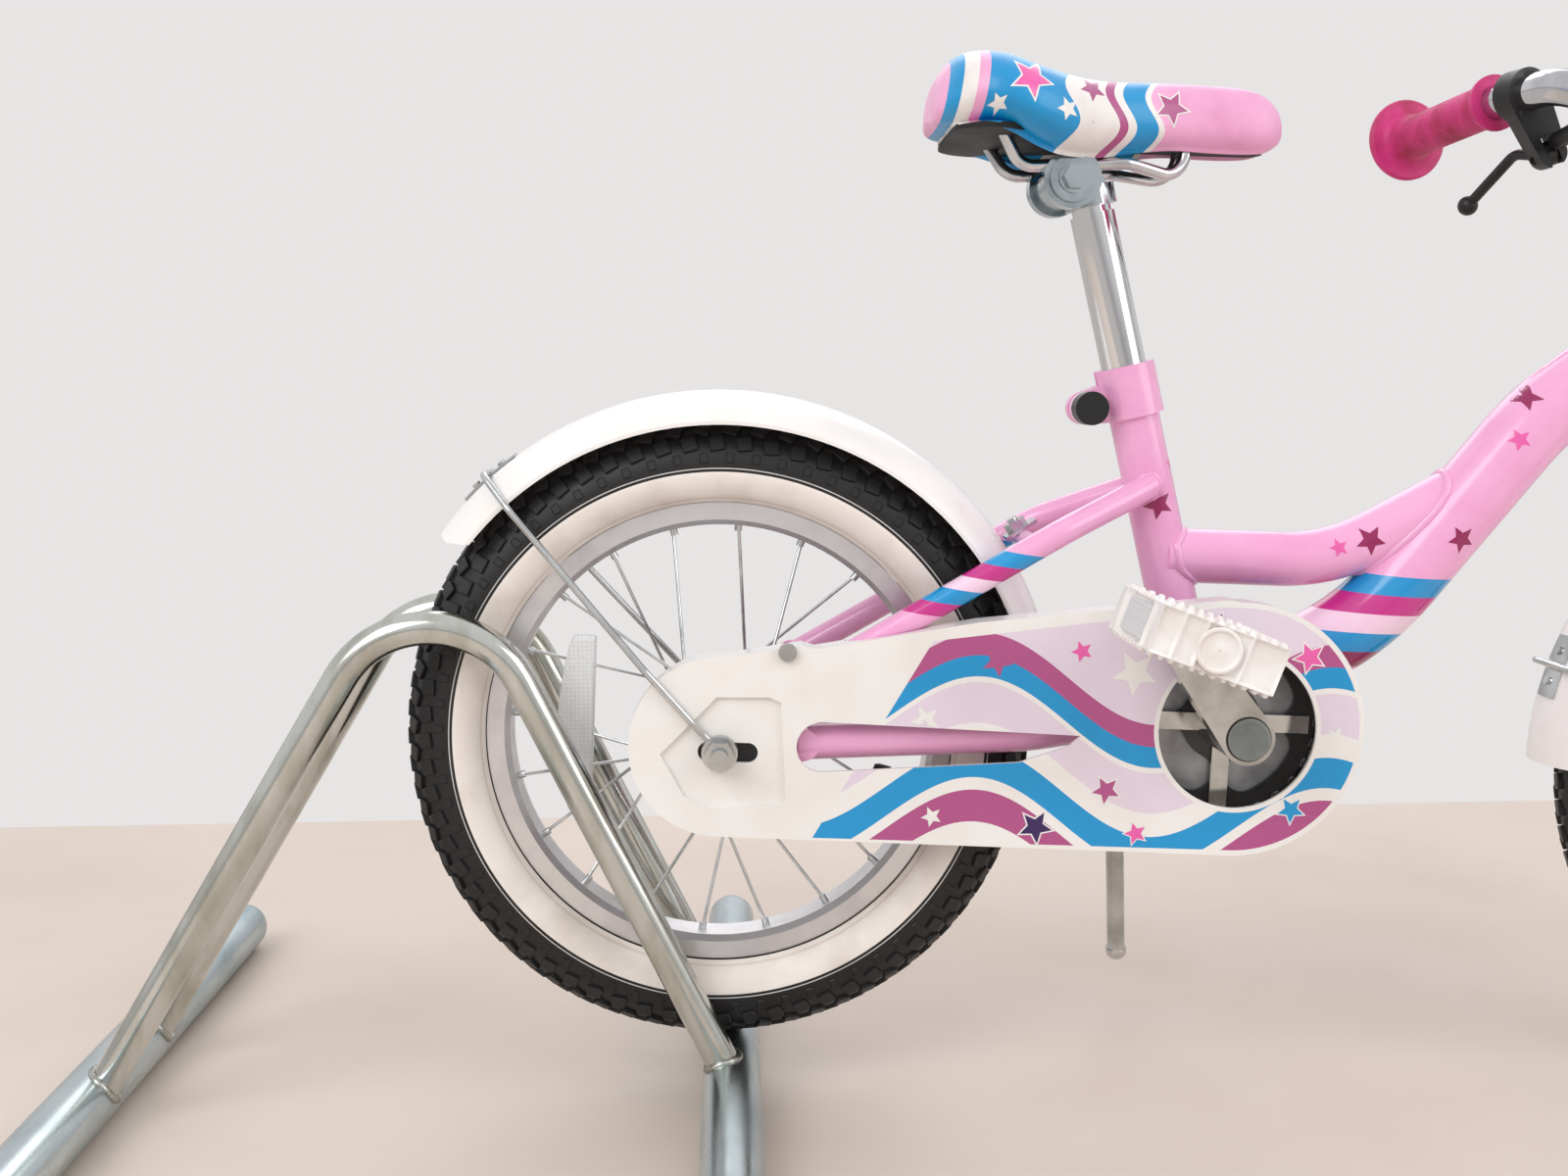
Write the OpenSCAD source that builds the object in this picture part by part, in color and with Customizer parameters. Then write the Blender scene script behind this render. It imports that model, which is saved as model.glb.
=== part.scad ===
// Child's bicycle with 14-inch wheels, parked with its rear wheel in a welded tube stand.
// Forward is +X, the rider's left is +Y and up is +Z. The floor is Z = 0, and X = 0, Y = 0
// lies under the rear axle, in the middle plane of both wheels.

/* [Wheels] */
// Outside diameter of the tyres
tyre_d = 362; // [350:1:374]
// Width of a tyre's section
tyre_w = 54; // [50:1:56]
// Thickness of a tyre's casing
tyre_wall = 4; // [3:0.5:5]
// Diameter over the rim's flanges
rim_d = 268; // [262:1:272]
// Height of the rim's section
rim_h = 13; // [12:0.5:16]
// Width of the rim
rim_w = 28; // [24:1:30]
// Distance between the two axles
wheelbase = 683; // [675:1:700]
// Diameter of a spoke
spoke_d = 2; // [1.8:0.1:2.4]
// Diameter of the circle on which the spokes leave the hub
spoke_circle_d = 48; // [44:1:52]
// Diameter of the rear axle
rear_axle_d = 9.52; // [9:0.01:10]
// Diameter of the front axle
front_axle_d = 7.94; // [7.5:0.01:8.5]

/* [Frame] */
// Height of the crank's centre above the line of the axles
bb_rise = 22; // [16:1:26]
// Length of the bottom bracket shell
bb_shell_w = 68; // [67:1:69]
// Diameter of the bottom bracket shell
bb_shell_d = 40; // [39:0.5:42]
// Backward lean of the seat tube, in degrees
seat_lean = 15.5; // [13:0.5:18]
// Distance of the seat tube's foot behind the crank's centre
seat_tube_back = 4.5; // [3:0.5:6]
// Length of the seat tube, from the height of the crank's centre
seat_tube_l = 199; // [190:1:206]
// Outside diameter of the seat tube
seat_tube_d = 28.6; // [28.6:0.1:31]
// Outside diameter of the down tube
down_tube_d = 44.5; // [40:0.5:46]
// Outside diameter of the top tube
top_tube_d = 31.8; // [28:0.2:34]
// Height of the top tube's straight end above the line of the axles
top_tube_rise = 112; // [108:1:118]
// Wall of the frame's tubes
frame_wall = 1.8; // [1.5:0.1:2.5]
// Outside diameter of the head tube
head_tube_d = 36; // [35:0.5:38]
// Length of the head tube
head_tube_l = 90; // [80:1:92]
// Backward lean of the steering axis, in degrees
head_lean = 22; // [21:0.5:23]
// Diameter of a chain stay
chainstay_d = 20; // [18:0.5:21]
// Diameter of a seat stay
seatstay_d = 15; // [14:0.5:15]
// Distance between the outer faces of the rear dropouts
dropout_span = 112; // [111:0.5:113]
// Thickness of a dropout plate
dropout_t = 4; // [3:0.5:5]

/* [Steering] */
// Distance of the front axle ahead of the steering axis
fork_rake = 28; // [24:1:32]
// Diameter of a fork blade
blade_d = 20; // [18:0.5:21]
// Distance from the middle plane to the middle of a blade
blade_side = 46; // [46:0.5:48]
// Diameter of the handlebar
bar_d = 22.2; // [21.8:0.1:22.6]
// Half of the handlebar's width, without the grips' ends
bar_reach = 228; // [215:1:240]
// Height of the handlebar's clamp along the steering axis, above the axle line
bar_height = 409; // [400:1:420]
// Rise of the handlebar from its clamp to its highest point
bar_rise = 13.5; // [8:0.5:20]
// Backward sweep of the handlebar from its clamp to its ends
bar_sweep = 53; // [40:1:60]
// Forward reach of the stem
stem_reach = 24; // [20:1:30]
// Diameter of a grip
grip_d = 28.5; // [27:0.5:31]
// Diameter of the round end of a grip
grip_end_d = 56; // [48:1:58]
// Length of a grip
grip_l = 108; // [100:1:110]

/* [Drive] */
// Teeth on the chainring
ring_teeth = 28; // [28:2:28]
// Teeth on the rear sprocket
sprocket_teeth = 14; // [14:1:14]
// Links in the chain
chain_links = 66; // [66:2:66]
// Distance from the crank's centre to the pedal's
crank_l = 76; // [70:1:80]
// Angle of the right crank above straight ahead, in degrees
crank_angle = 127.5; // [120:0.5:135]
// Width of a pedal, along its spindle
pedal_w = 80; // [70:1:84]
// Length of a pedal, from its front edge to its back edge
pedal_l = 66; // [60:1:70]
// Height of a pedal
pedal_h = 24; // [22:1:26]

/* [Seat] */
// Diameter of the seat post
post_d = 25.4; // [25.4:0.1:25.4]
// Height of the seat clamp's bolt along the seat tube, above the crank's centre
saddle_height = 313; // [300:1:318]
// Diameter of the saddle's rails
rail_wire_d = 7; // [6.5:0.1:7.2]
// Half of the distance between the rails in the clamp
rail_side = 22; // [21.5:0.5:24]
// Thickness of the saddle's base plate
saddle_base_t = 3; // [2:0.5:4]

/* [Guards] */
// Inside width of the mudguards
mudguard_w = 62; // [60:1:63]
// Wall of the mudguards
mudguard_wall = 1.8; // [1.5:0.1:2.2]
// Gap between the tyre and the top of the mudguard
mudguard_gap = 14.5; // [12:0.5:16]
// Wall of the chain guard
guard_wall = 2; // [1.6:0.1:2.4]
// Distance from the middle plane to the chain guard's outer face
guard_side = 64; // [63.5:0.5:66]
// Depth of the chain guard's edge
guard_depth = 17; // [12:1:18]
// Diameter of the wire that braces a mudguard
stay_d = 4; // [3:0.5:5]

/* [Stand] */
// Diameter of the floor tubes
rail_d = 33.7; // [30:0.1:36]
// Length of the floor tubes, without their end caps
rail_l = 506; // [440:2:600]
// Distance between the floor tubes
rail_gap = 365; // [355:1:375]
// Diameter of the wheel hoops' tube
hoop_d = 19; // [16:0.5:21]
// Distance between the middles of the two wheel hoops
hoop_gap = 88; // [86:1:96]
// Height of the wheel hoops
hoop_h = 292; // [280:1:300]
// Radius of the wheel hoops' bend, at the middle of the tube
hoop_bend = 57; // [50:1:60]
// Wall of the stand's tubes
stand_wall = 2; // [1.6:0.1:2.6]

/* [Hidden] */
$fn = 48;

// Clearances: radial play in a bearing, gap between fixed pieces, gap under a tyre
fit = 0.05;
seat_gap = 0.1;
tyre_gap = 0.3;

// Hairline seam between a straight and the bend beyond it, and inset of a tapered shape's sides
bend_seam = 0.01;
side_inset = 0.02;

// The bicycle stands with its rear wheel on the front floor tube and dips towards its front
rear_axle_h = rail_d + tyre_d / 2 + tyre_gap;
bike_pitch = asin(rail_d / wheelbase);
front_axle = [wheelbase, 0, 0];

// Chain drive
pitch = 12.7;
sprocket_r = pitch / (2 * sin(180 / sprocket_teeth));
ring_r = pitch / (2 * sin(180 / ring_teeth));
chain_side = 38;
chain_steps = 12;
function chain_length(d) = 2 * sqrt(d * d - pow(ring_r - sprocket_r, 2)) / pitch
    + (180 - 2 * asin((ring_r - sprocket_r) / d)) * sprocket_teeth / 360
    + (180 + 2 * asin((ring_r - sprocket_r) / d)) * ring_teeth / 360;
function drive_span(d, n) = n == 0 ? d
    : drive_span(d + (chain_links - chain_length(d)) * pitch / 2, n - 1);
drive_d = drive_span(pitch * 22, chain_steps);
bb_x = sqrt(drive_d * drive_d - bb_rise * bb_rise);
bb = [bb_x, 0, bb_rise];
drive_tilt = atan2(bb_rise, bb_x);
belt_angle = asin((ring_r - sprocket_r) / drive_d);
upper_normal = drive_tilt + 90 + belt_angle;
lower_normal = drive_tilt - 90 - belt_angle;
run_steps = sqrt(drive_d * drive_d - pow(ring_r - sprocket_r, 2)) / pitch;
ring_steps = (180 + 2 * belt_angle) * ring_teeth / 360;
ring_turn = 360 / ring_teeth;
sprocket_turn = 360 / sprocket_teeth;
sprocket_start = 2 * run_steps + ring_steps;
roller_r = 3.9;
gear_t = 2.6;
inner_plate_y = 1.9;
outer_plate_y = 3.3;
chain_plate_t = 1;
chain_pin_r = 1.8;
chain_half_w = 4.7;

// Frame
seat_foot = [bb_x - seat_tube_back, 0, bb_rise];
function on_seat(s, y = 0) = seat_foot + [-s * sin(seat_lean), y, s * cos(seat_lean)];
steer_x = wheelbase - fork_rake / cos(head_lean);
function on_steer(s, n = 0, y = 0) = [steer_x - s * sin(head_lean) + n * cos(head_lean), y,
    s * cos(head_lean) + n * sin(head_lean)];
head_low = 228;
head_high = head_low + head_tube_l;
down_low_angle = 31;
down_mid_angle = 53.3;
down_join = head_low + 0.615 * head_tube_l;
down_a = bb + 110 * [cos(down_low_angle), 0, sin(down_low_angle)];
down_b = down_a + 151 * [cos(down_mid_angle), 0, sin(down_mid_angle)];
down_bend = 150;
top_a_s = (top_tube_rise - bb_rise) / cos(seat_lean);
top_bend_x = 352;
top_end = [438, 0, 162];
top_bend = 110;
dropout_y = dropout_span / 2;
stay_near_y = 23;
stay_far_y = 43;
chainstay_end = [43, 0, 4];
seatstay_end = [42, 0, 37];
seatstay_elbow = [186, 0, 127];
seatstay_top_s = 136;
post_r = post_d / 2;
seat_bore = post_r + fit;
cup_r = 19.5;
steerer_r = 12.7;
axle_end = 79;
rear_axle_r = rear_axle_d / 2;
front_axle_r = front_axle_d / 2;
front_axle_end = 68;
tip_step = 0.2;
nut_gap = 0.3;
panel_y = guard_side - 4.5;
stay_side = panel_y + guard_wall + stay_d / 2 + 0.05;
rear_nut_end = stay_side + stay_d / 2 + 9.05 + nut_gap;
front_nut_end = blade_side + stay_d + 10.1 + nut_gap;

// Crank
spindle_r = 8;
spindle_square = 12.4;
boss_r = 14.5;
arm_y = 76;
arm_t = 12;
eye_r = 11;
pedal_spindle_r = 4;
pedal_start = arm_y + arm_t + 6;
pedal_tilt = 18;

// Saddle
clamp_back = 12.9;
clamp_bolt = on_seat(saddle_height) - clamp_back * [cos(seat_lean), 0, sin(seat_lean)];
post_top_s = saddle_height - 5;
post_neck_s = saddle_height - 20;
sleeve_low_s = saddle_height - 16;
rail_rise = 6;
sleeve_r = 15;
post_neck_r = 11.1;
post_bottom_s = 92;
base_z = clamp_bolt[2] + 21;
cheek_in = 17.3;
cheek_out = 31;

// Mudguards
mud_crown_r = tyre_d / 2 + mudguard_gap + mudguard_wall + 0.2;
mud_arc_r = 40;
mud_edge_r = mud_crown_r - 19.5;
mud_half_w = mudguard_w / 2 + mudguard_wall + 0.2;
mud_stay_r = mud_crown_r + stay_d / 2 + seat_gap;

// Handlebar and brake
bar_c = on_steer(bar_height, stem_reach);
bar_end = bar_c + [-bar_sweep, bar_reach, 3];
bar_grip = bar_c + [-0.7 * bar_sweep, 112, 0.95 * bar_rise];
bar_rear = bar_c + [-0.49 * bar_sweep, 70, bar_rise];
bar_flat = bar_c + [0, 34, 0];
bar_bend = 40;
grip_dir = (bar_end - bar_grip) / norm(bar_end - bar_grip);
lever_dir = (bar_grip - bar_rear) / norm(bar_grip - bar_rear);
lever_seat = bar_grip - 13 * lever_dir;
lever_pivot = lever_seat + [20, 0, -36];
lever_tilt = 29;
brake_s = 206;
brake_n = 20;
pad_s = 117;
pad_gap = 1.8;

// Kickstand
kick_pivot = [243, 45, -2];
kick_frame = [4.7, 0, 7.3];
kick_lean = [14.8, -11.7];
kick_l = 175;

function unit(v) = v / norm(v);

// Put a piece of the bicycle, drawn from its rear axle along its wheelbase, in its place
module on_bike() {
    translate([0, 0, rear_axle_h]) rotate([0, bike_pitch, 0]) children();
}

// A round bar from a to b
module rod(a, b, r) {
    v = b - a;
    translate(a) rotate([0, acos(v[2] / norm(v)), atan2(v[1], v[0])]) cylinder(h = norm(v), r = r);
}

// The rounded tip of a bar of radius r that ends at p, pointing along d
module tip(p, d, r) {
    translate(p - 0.5 * d) rotate([0, acos(d[2]), atan2(d[1], d[0])]) {
        cylinder(h = 0.35 * r + 0.5, r1 = r - 0.15, r2 = 0.85 * r);
        cylinder(h = 0.75 * r, r1 = r - 0.3, r2 = 0.45 * r);
    }
}

// Place a piece with its x, y and z axes along the given directions and its origin at p
module placed(x, y, z, p) {
    multmatrix([[x[0], y[0], z[0], p[0]], [x[1], y[1], z[1], p[1]], [x[2], y[2], z[2], p[2]],
                [0, 0, 0, 1]])
        children();
}

// A round bar along points, with round bends of the given radius between its straights
module swept(points, r, bend) {
    n = len(points);
    function run(i) = unit(points[i + 1] - points[i]);
    function turn(i) = acos(run(i - 1) * run(i));
    function cut(i) = i == 0 || i == n - 1 ? 0 : bend * tan(turn(i) / 2) + bend_seam;
    for (i = [0:n - 2])
        rod(points[i] + run(i) * cut(i), points[i + 1] - run(i) * cut(i + 1), r);
    for (i = [1:1:n - 2]) {
        a = run(i - 1);
        c = points[i] + unit(run(i) - a) * bend / cos(turn(i) / 2);
        x = unit(points[i] - a * bend * tan(turn(i) / 2) - c);
        placed(x, a, cross(x, a), c)
            rotate_extrude(angle = turn(i), $fn = 96) translate([bend, 0]) circle(r = r);
    }
}

// A shape drawn forward and up, made solid from y0 to y1
module plate(y0, y1) {
    translate([0, y1, 0]) rotate([90, 0, 0]) linear_extrude(y1 - y0) children();
}

// A cylinder across the bicycle from y0 to y1
module across(y0, y1, r) {
    translate([0, y0, 0]) rotate([-90, 0, 0]) cylinder(h = y1 - y0, r = r);
}

// A profile of radius and height turned about the axis across the bicycle
module turned() {
    rotate([90, 0, 0]) rotate_extrude($fn = 96) children();
}

// Two circles, d apart, and the straight sides that touch both
module taper(d, r1, r2) {
    s = (r1 - r2) / d;
    c = sqrt(1 - s * s);
    a = r1 - side_inset;
    b = r2 - side_inset;
    circle(r = r1);
    translate([d, 0]) circle(r = r2);
    polygon([[a * s, a * c], [d + b * s, b * c], [d + b * s, -b * c], [a * s, -a * c]]);
}

// The same shape from one point to another
module taper_to(a, b, r1, r2) {
    translate(a) rotate(atan2(b[1] - a[1], b[0] - a[0])) taper(norm(b - a), r1, r2);
}

// A piece and its mirror image on the other side of the middle plane
module both_sides() {
    children();
    mirror([0, 1, 0]) children();
}

// A hexagonal nut with its washer face against y0, towards the outside of side sgn
module axle_nut(sgn, y0, h, across_flats, bore) {
    mirror([0, sgn < 0 ? 1 : 0, 0]) difference() {
        union() {
            across(y0, y0 + 2, across_flats * 0.66);
            translate([0, y0 + 2, 0]) rotate([-90, 0, 0])
                cylinder(h = h - 2, r = across_flats / sqrt(3), $fn = 6);
        }
        across(y0 - 1, y0 + h + 1, bore);
    }
}

// ---- Stand ----

module rail_at(x, r, l) {
    translate([x, 0, rail_d / 2]) across(-l / 2, l / 2, r);
}

rail_front_x = 4;
rail_rear_x = rail_front_x - rail_gap;
hoop_foot_z = 22;
hoop_corner_x = -154;
hoop_corner_z = hoop_h + 53;

module stand_rails() {
    color("#AEB8B4") for (x = [rail_front_x, rail_rear_x]) difference() {
        rail_at(x, rail_d / 2, rail_l);
        rail_at(x, rail_d / 2 - stand_wall, rail_l + 2);
    }
}

module rail_caps() {
    color("#9FA9A6") for (x = [rail_front_x, rail_rear_x]) translate([x, 0, rail_d / 2])
        both_sides() {
            translate([0, rail_l / 2, 0]) intersection() {
                sphere(r = rail_d / 2);
                across(0, rail_d / 2, rail_d / 2 + 1);
            }
            across(rail_l / 2 - 14, rail_l / 2, rail_d / 2 - stand_wall - seat_gap);
        }
}

module hoop(y) {
    path = [[rail_rear_x + 9, y, hoop_foot_z], [hoop_corner_x, y, hoop_corner_z],
            [rail_front_x - 1, y, hoop_foot_z]];
    color("#B4BDB9") difference() {
        swept(path, hoop_d / 2, hoop_bend);
        swept(path, hoop_d / 2 - stand_wall, hoop_bend);
        for (x = [rail_front_x, rail_rear_x]) rail_at(x, rail_d / 2, rail_l);
    }
}

module stand_right_hoop() {
    hoop(-hoop_gap / 2);
}

module stand_left_hoop() {
    hoop(hoop_gap / 2);
}

// ---- Frame ----

module bb_solid(r = bb_shell_d / 2) {
    translate(bb) across(-bb_shell_w / 2, bb_shell_w / 2, r);
}

module bottom_bracket_shell() {
    color("#F4B6DC") on_bike() difference() {
        bb_solid();
        translate(bb) across(-bb_shell_w, bb_shell_w, 17);
    }
}

module seat_solid(r = seat_tube_d / 2, s0 = 0, s1 = seat_tube_l) {
    rod(on_seat(s0), on_seat(s1), r);
}

module seat_tube() {
    color("#F4B6DC") on_bike() difference() {
        seat_solid();
        seat_solid(seat_bore, -1, seat_tube_l + 1);
        bb_solid();
        translate(on_seat(seat_tube_l - 12)) rotate([0, -seat_lean, 0])
            translate([-seat_tube_d, -1.5, -7]) cube([seat_tube_d, 3, 30]);
    }
}

module down_path(r) {
    swept([bb, down_a, down_b, on_steer(down_join)], r, down_bend);
}

module head_solid(r = head_tube_d / 2, more = 0) {
    rod(on_steer(head_low - more), on_steer(head_high + more), r);
}

module down_tube() {
    color("#F4B6DC") on_bike() difference() {
        down_path(down_tube_d / 2);
        down_path(down_tube_d / 2 - frame_wall);
        bb_solid();
        seat_solid();
        head_solid();
        rod(on_steer(head_low - 9), on_steer(head_low), cup_r + seat_gap);
    }
}

module top_path(r) {
    swept([on_seat(top_a_s), [top_bend_x, 0, top_tube_rise], top_end], r, top_bend);
}

module top_tube() {
    color("#F4B6DC") on_bike() difference() {
        top_path(top_tube_d / 2);
        top_path(top_tube_d / 2 - frame_wall);
        seat_solid();
        down_path(down_tube_d / 2);
    }
}

module head_tube() {
    color("#F4B6DC") on_bike() difference() {
        head_solid();
        head_solid(head_tube_d / 2 - 2.5, 1);
    }
}

function chainstay_points(sgn) = [[bb_x - 4, sgn * stay_near_y, bb_rise - 2],
    [226, sgn * stay_near_y, 17], [172, sgn * stay_far_y, 12],
    [chainstay_end[0], sgn * (dropout_y - 9), chainstay_end[2]]];

module chainstay(sgn) {
    path = chainstay_points(sgn);
    outer = dropout_y * sgn;
    color("#F4B6DC") on_bike() difference() {
        union() {
            swept(path, chainstay_d / 2, 60);
            tip(path[3], unit(path[3] - path[2]), chainstay_d / 2);
            plate(min(outer, outer - sgn * dropout_t), max(outer, outer - sgn * dropout_t)) {
                taper_to([0, 0], [46, 4], 16, 9);
                taper_to([6, 3], [seatstay_end[0], seatstay_end[2]], 13, 9);
            }
        }
        plate(-80, 80) {
            circle(r = rear_axle_r + seat_gap);
            translate([-40, -rear_axle_r - seat_gap]) square([40, rear_axle_d + 2 * seat_gap]);
        }
        bb_solid();
        seat_solid();
    }
}

module right_chainstay() {
    chainstay(-1);
}

module left_chainstay() {
    chainstay(1);
}

module seatstay_path(sgn, r) {
    swept([on_seat(seatstay_top_s, sgn * 11),
           seatstay_elbow + [0, sgn * 45, 0],
           seatstay_end + [0, sgn * (dropout_y - 3.8), 0]], r, 40);
}

module dropout_cut(sgn) {
    y0 = sgn > 0 ? dropout_y - dropout_t : -dropout_y;
    translate([0, y0, 0]) cube([120, dropout_t, 120]);
}

module seatstay(sgn) {
    difference() {
        seatstay_path(sgn, seatstay_d / 2);
        seat_solid();
        intersection() {
            dropout_cut(sgn);
            plate(-90, 90) taper_to([6, 3], [seatstay_end[0], seatstay_end[2]], 13, 9);
        }
    }
}

bridge = [172, 0, 118.4];

module right_seatstay() {
    color("#F4B6DC") on_bike() {
        seatstay(-1);
        difference() {
            translate(bridge) across(-46, 46, 5);
            seatstay_path(1, seatstay_d / 2);
            translate(bridge) rotate([0, -34, 0]) cylinder(h = 20, r = 3.05, center = true);
        }
    }
}

module left_seatstay() {
    color("#F4B6DC") on_bike() seatstay(1);
}

collar_low_s = 176;
collar_high_s = 205.5;
collar_ear_s = 187;

module seat_collar() {
    color("#F4B6DC") on_bike() difference() {
        union() {
            rod(on_seat(collar_low_s), on_seat(collar_high_s), seat_tube_d / 2 + 3);
            translate(on_seat(collar_ear_s)) plate(-8.5, 8.5)
                rotate(-180 + seat_lean) taper(27, 13, 9.5);
        }
        seat_solid(seat_tube_d / 2 + 0.02, collar_low_s - 1, seat_tube_l);
        seat_solid(post_r + 0.4, collar_low_s - 9, collar_high_s + 1);
        translate(on_seat(collar_ear_s)) rotate([0, -seat_lean, 0])
            translate([-50, -2.5, -30]) cube([50, 5, 60]);
        translate(on_seat(collar_ear_s)) rotate([0, -seat_lean, 0])
            translate([-27, 0, 0]) across(-20, 20, 3 + seat_gap);
    }
}

module collar_bolt() {
    color("#141414") on_bike() translate(on_seat(collar_ear_s)) rotate([0, -seat_lean, 0])
        translate([-27, 0, 0]) {
            across(-20, 14, 3);
            across(-21, -8.6, 9.5);
            across(8.6, 13, 6);
        }
}

module headset_cups() {
    color("#B9BABD") on_bike() difference() {
        union() {
            rod(on_steer(head_low - 8.5), on_steer(head_low), cup_r);
            rod(on_steer(head_high), on_steer(head_high + 8), cup_r);
        }
        rod(on_steer(head_low - 20), on_steer(head_high + 20), steerer_r + fit);
    }
}

module bottom_bracket_cups() {
    color("#C4C5C8") on_bike() translate(bb) both_sides() difference() {
        union() {
            across(24, bb_shell_w / 2, 17 - 0.02);
            across(bb_shell_w / 2, bb_shell_w / 2 + 1.6, 19);
        }
        across(20, 40, spindle_r + fit);
    }
}

module rear_axle() {
    color("#C2C4C6") on_bike() {
        across(-rear_nut_end, rear_nut_end, rear_axle_r);
        across(-axle_end, axle_end, rear_axle_r - tip_step);
        both_sides() difference() {
            union() {
                across(46.6, dropout_y - dropout_t, 9);
                across(dropout_y, panel_y, 10);
            }
            across(40, 70, rear_axle_r + 0.03);
        }
        for (sgn = [-1, 1])
            axle_nut(sgn, stay_side + stay_d / 2 + 0.05, 9, 15, rear_axle_r + 0.03);
        difference() {
            across(panel_y + fit, panel_y + guard_wall, 10);
            across(40, 70, rear_axle_r + 0.03);
        }
    }
}

module coaster_arm() {
    stay_tail = chainstay_points(1)[3];
    color("#B4B8B9") on_bike() difference() {
        union() {
            across(31, 46.5, 17);
            plate(43, 46.5) taper_to([0, 0], [118, 9], 17, 8);
            translate([112, 0, 8.3]) rotate([0, 87, 0]) translate([0, 48.8, 0])
                cylinder(h = 14, r = chainstay_d / 2 + 3.2, center = true);
        }
        across(20, 60, rear_axle_r + 0.03);
        swept(chainstay_points(1), chainstay_d / 2 + 0.02, 60);
        rod(stay_tail, stay_tail + 10 * unit(stay_tail - chainstay_points(1)[2]),
            chainstay_d / 2 + 0.02);
    }
}

// ---- Chain guard ----

module guard_outline(inset) {
    translate([bb_x + 1.5, bb_rise]) circle(r = 71 - inset);
    translate([0, 3]) circle(r = 50 - inset);
    polygon([[0, -47 + inset], [bb_x, -49 + inset], [bb_x, 93 - inset], [275, 94 - inset],
             [208, 86 - inset], [139, 77 - inset], [50, 59 - inset], [43 - inset, 61 - inset],
             [12, 55 - inset], [0, 53 - inset]]);
}

module guard_panel() {
    polygon([[-3, 33], [28, 34], [35, 31], [40, -27], [36, -30], [-5, -34], [-20, -27],
             [-35, -2]]);
}

module chain_guard() {
    back = guard_side - guard_depth;
    color("#F2F0EE") on_bike() difference() {
        union() {
            difference() {
                plate(-guard_side, -back) guard_outline(0);
                plate(-guard_side + guard_wall, -back + 1) guard_outline(guard_wall);
                plate(-guard_side - 1, -back + 1) {
                    translate([bb_x + 1.5, bb_rise]) circle(r = 44);
                    translate([56, 5]) circle(r = 14);
                    polygon([[56, 19], [198, 16], [192, 10], [165, 0], [56, -9]]);
                }
                plate(-guard_side - 1, -guard_side + guard_wall + 1) guard_panel();
            }
            plate(-panel_y - guard_wall, -panel_y) guard_panel();
            plate(-guard_side, -panel_y) difference() {
                guard_panel();
                scale(0.93) guard_panel();
            }
        }
        plate(-70, -40) taper_to([-6.5, 0], [15.5, 0], 5.5, 5.5);
        seatstay_path(-1, seatstay_d / 2 + 1);
        plate(-70, -40) translate([35, 57]) circle(r = 2.6);
    }
}

module frame_screws() {
    color("#BFC1C4") on_bike() {
        translate([35, 0, 57]) {
            across(-guard_side + guard_wall - 3, -guard_side + guard_wall + 6, 2.5);
            across(-guard_side - 3, -guard_side, 5);
        }
        translate(bridge) rotate([0, -34, 0]) {
            translate([-9, -8, 5.05]) cube([20, 16, 2]);
            translate([0, 0, -8]) cylinder(h = 22, r = 3);
            translate([0, 0, 7.05]) cylinder(h = 5, r = 6.4, $fn = 6);
        }
    }
}

// ---- Mudguards ----

module mud_profile(grow, half_w) {
    intersection() {
        difference() {
            translate([mud_crown_r - mud_arc_r, 0]) circle(r = mud_arc_r + grow, $fn = 96);
            translate([mud_crown_r - mud_arc_r, 0])
                circle(r = mud_arc_r + (grow > 0 ? seat_gap / 2 : -mudguard_wall), $fn = 96);
        }
        translate([mud_edge_r, -half_w]) square([30, 2 * half_w]);
    }
}

module mud_sector(a0, a1, grow = 0, half_w = mud_half_w) {
    rotate([90, 0, 0]) rotate([0, 0, a0]) rotate_extrude(angle = a1 - a0, $fn = 96)
        mud_profile(grow, half_w);
}

mud_start = 12;
mud_stop = 146;
rear_stay_angle = 133.6;
front_stay_angle = 164;

module rear_mudguard() {
    color("#F3F1F0") on_bike() difference() {
        mud_sector(mud_start, mud_stop);
        translate([-260, -60, 0]) cube([160, 120, 106]);
    }
}

module mud_stay(angle, side, over) {
    rotate([0, -angle, 0]) {
        swept([[9, -side, 0], [12.5, -side, 0], [24, -over, 0], [60, -over, 0],
               [176, -38.5, 0], [mud_stay_r, -23, 0], [mud_stay_r, 23, 0],
               [176, 38.5, 0], [24, side, 0], [9, side, 0]], stay_d / 2, 12);
    }
}

module stay_clip(angle) {
    mud_sector(angle - 5.5, angle - 0.9, 1.3, 9);
    mud_sector(angle + 0.9, angle + 5.5, 1.3, 9);
    rotate([0, -angle, 0]) for (dz = [-9.5, 9.5]) translate([mud_crown_r + 0.15, 0, dz])
        rotate([0, 90, 0]) cylinder(h = 2.4, r = 2.6);
}

module eyelets(side, r) {
    both_sides() difference() {
        across(side - 0.4 * stay_d, side + 0.4 * stay_d, 9.6);
        across(side - 5, side + 5, r);
    }
}

module rear_mudguard_stay() {
    side = stay_side;
    over = guard_side + stay_d / 2 + nut_gap;
    color("#B9BDBF") on_bike() {
        difference() {
            mud_stay(rear_stay_angle, side, over);
            across(-80, 80, 9);
        }
        eyelets(side, rear_axle_r + 0.03);
        difference() {
            stay_clip(rear_stay_angle);
            mud_stay(rear_stay_angle, side, over);
        }
    }
}

// ---- Wheels ----

spoke_r = spoke_d / 2;
spoke_count = 20;
spoke_circle_r = spoke_circle_d / 2;
spoke_off = 3.3;
flange_y = 22;
rim_r = rim_d / 2;
rim_in_r = rim_r - rim_h;
tyre_mid_r = (tyre_d - tyre_w) / 2;
spoke_first = 87;
spoke_cross = 36;

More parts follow.
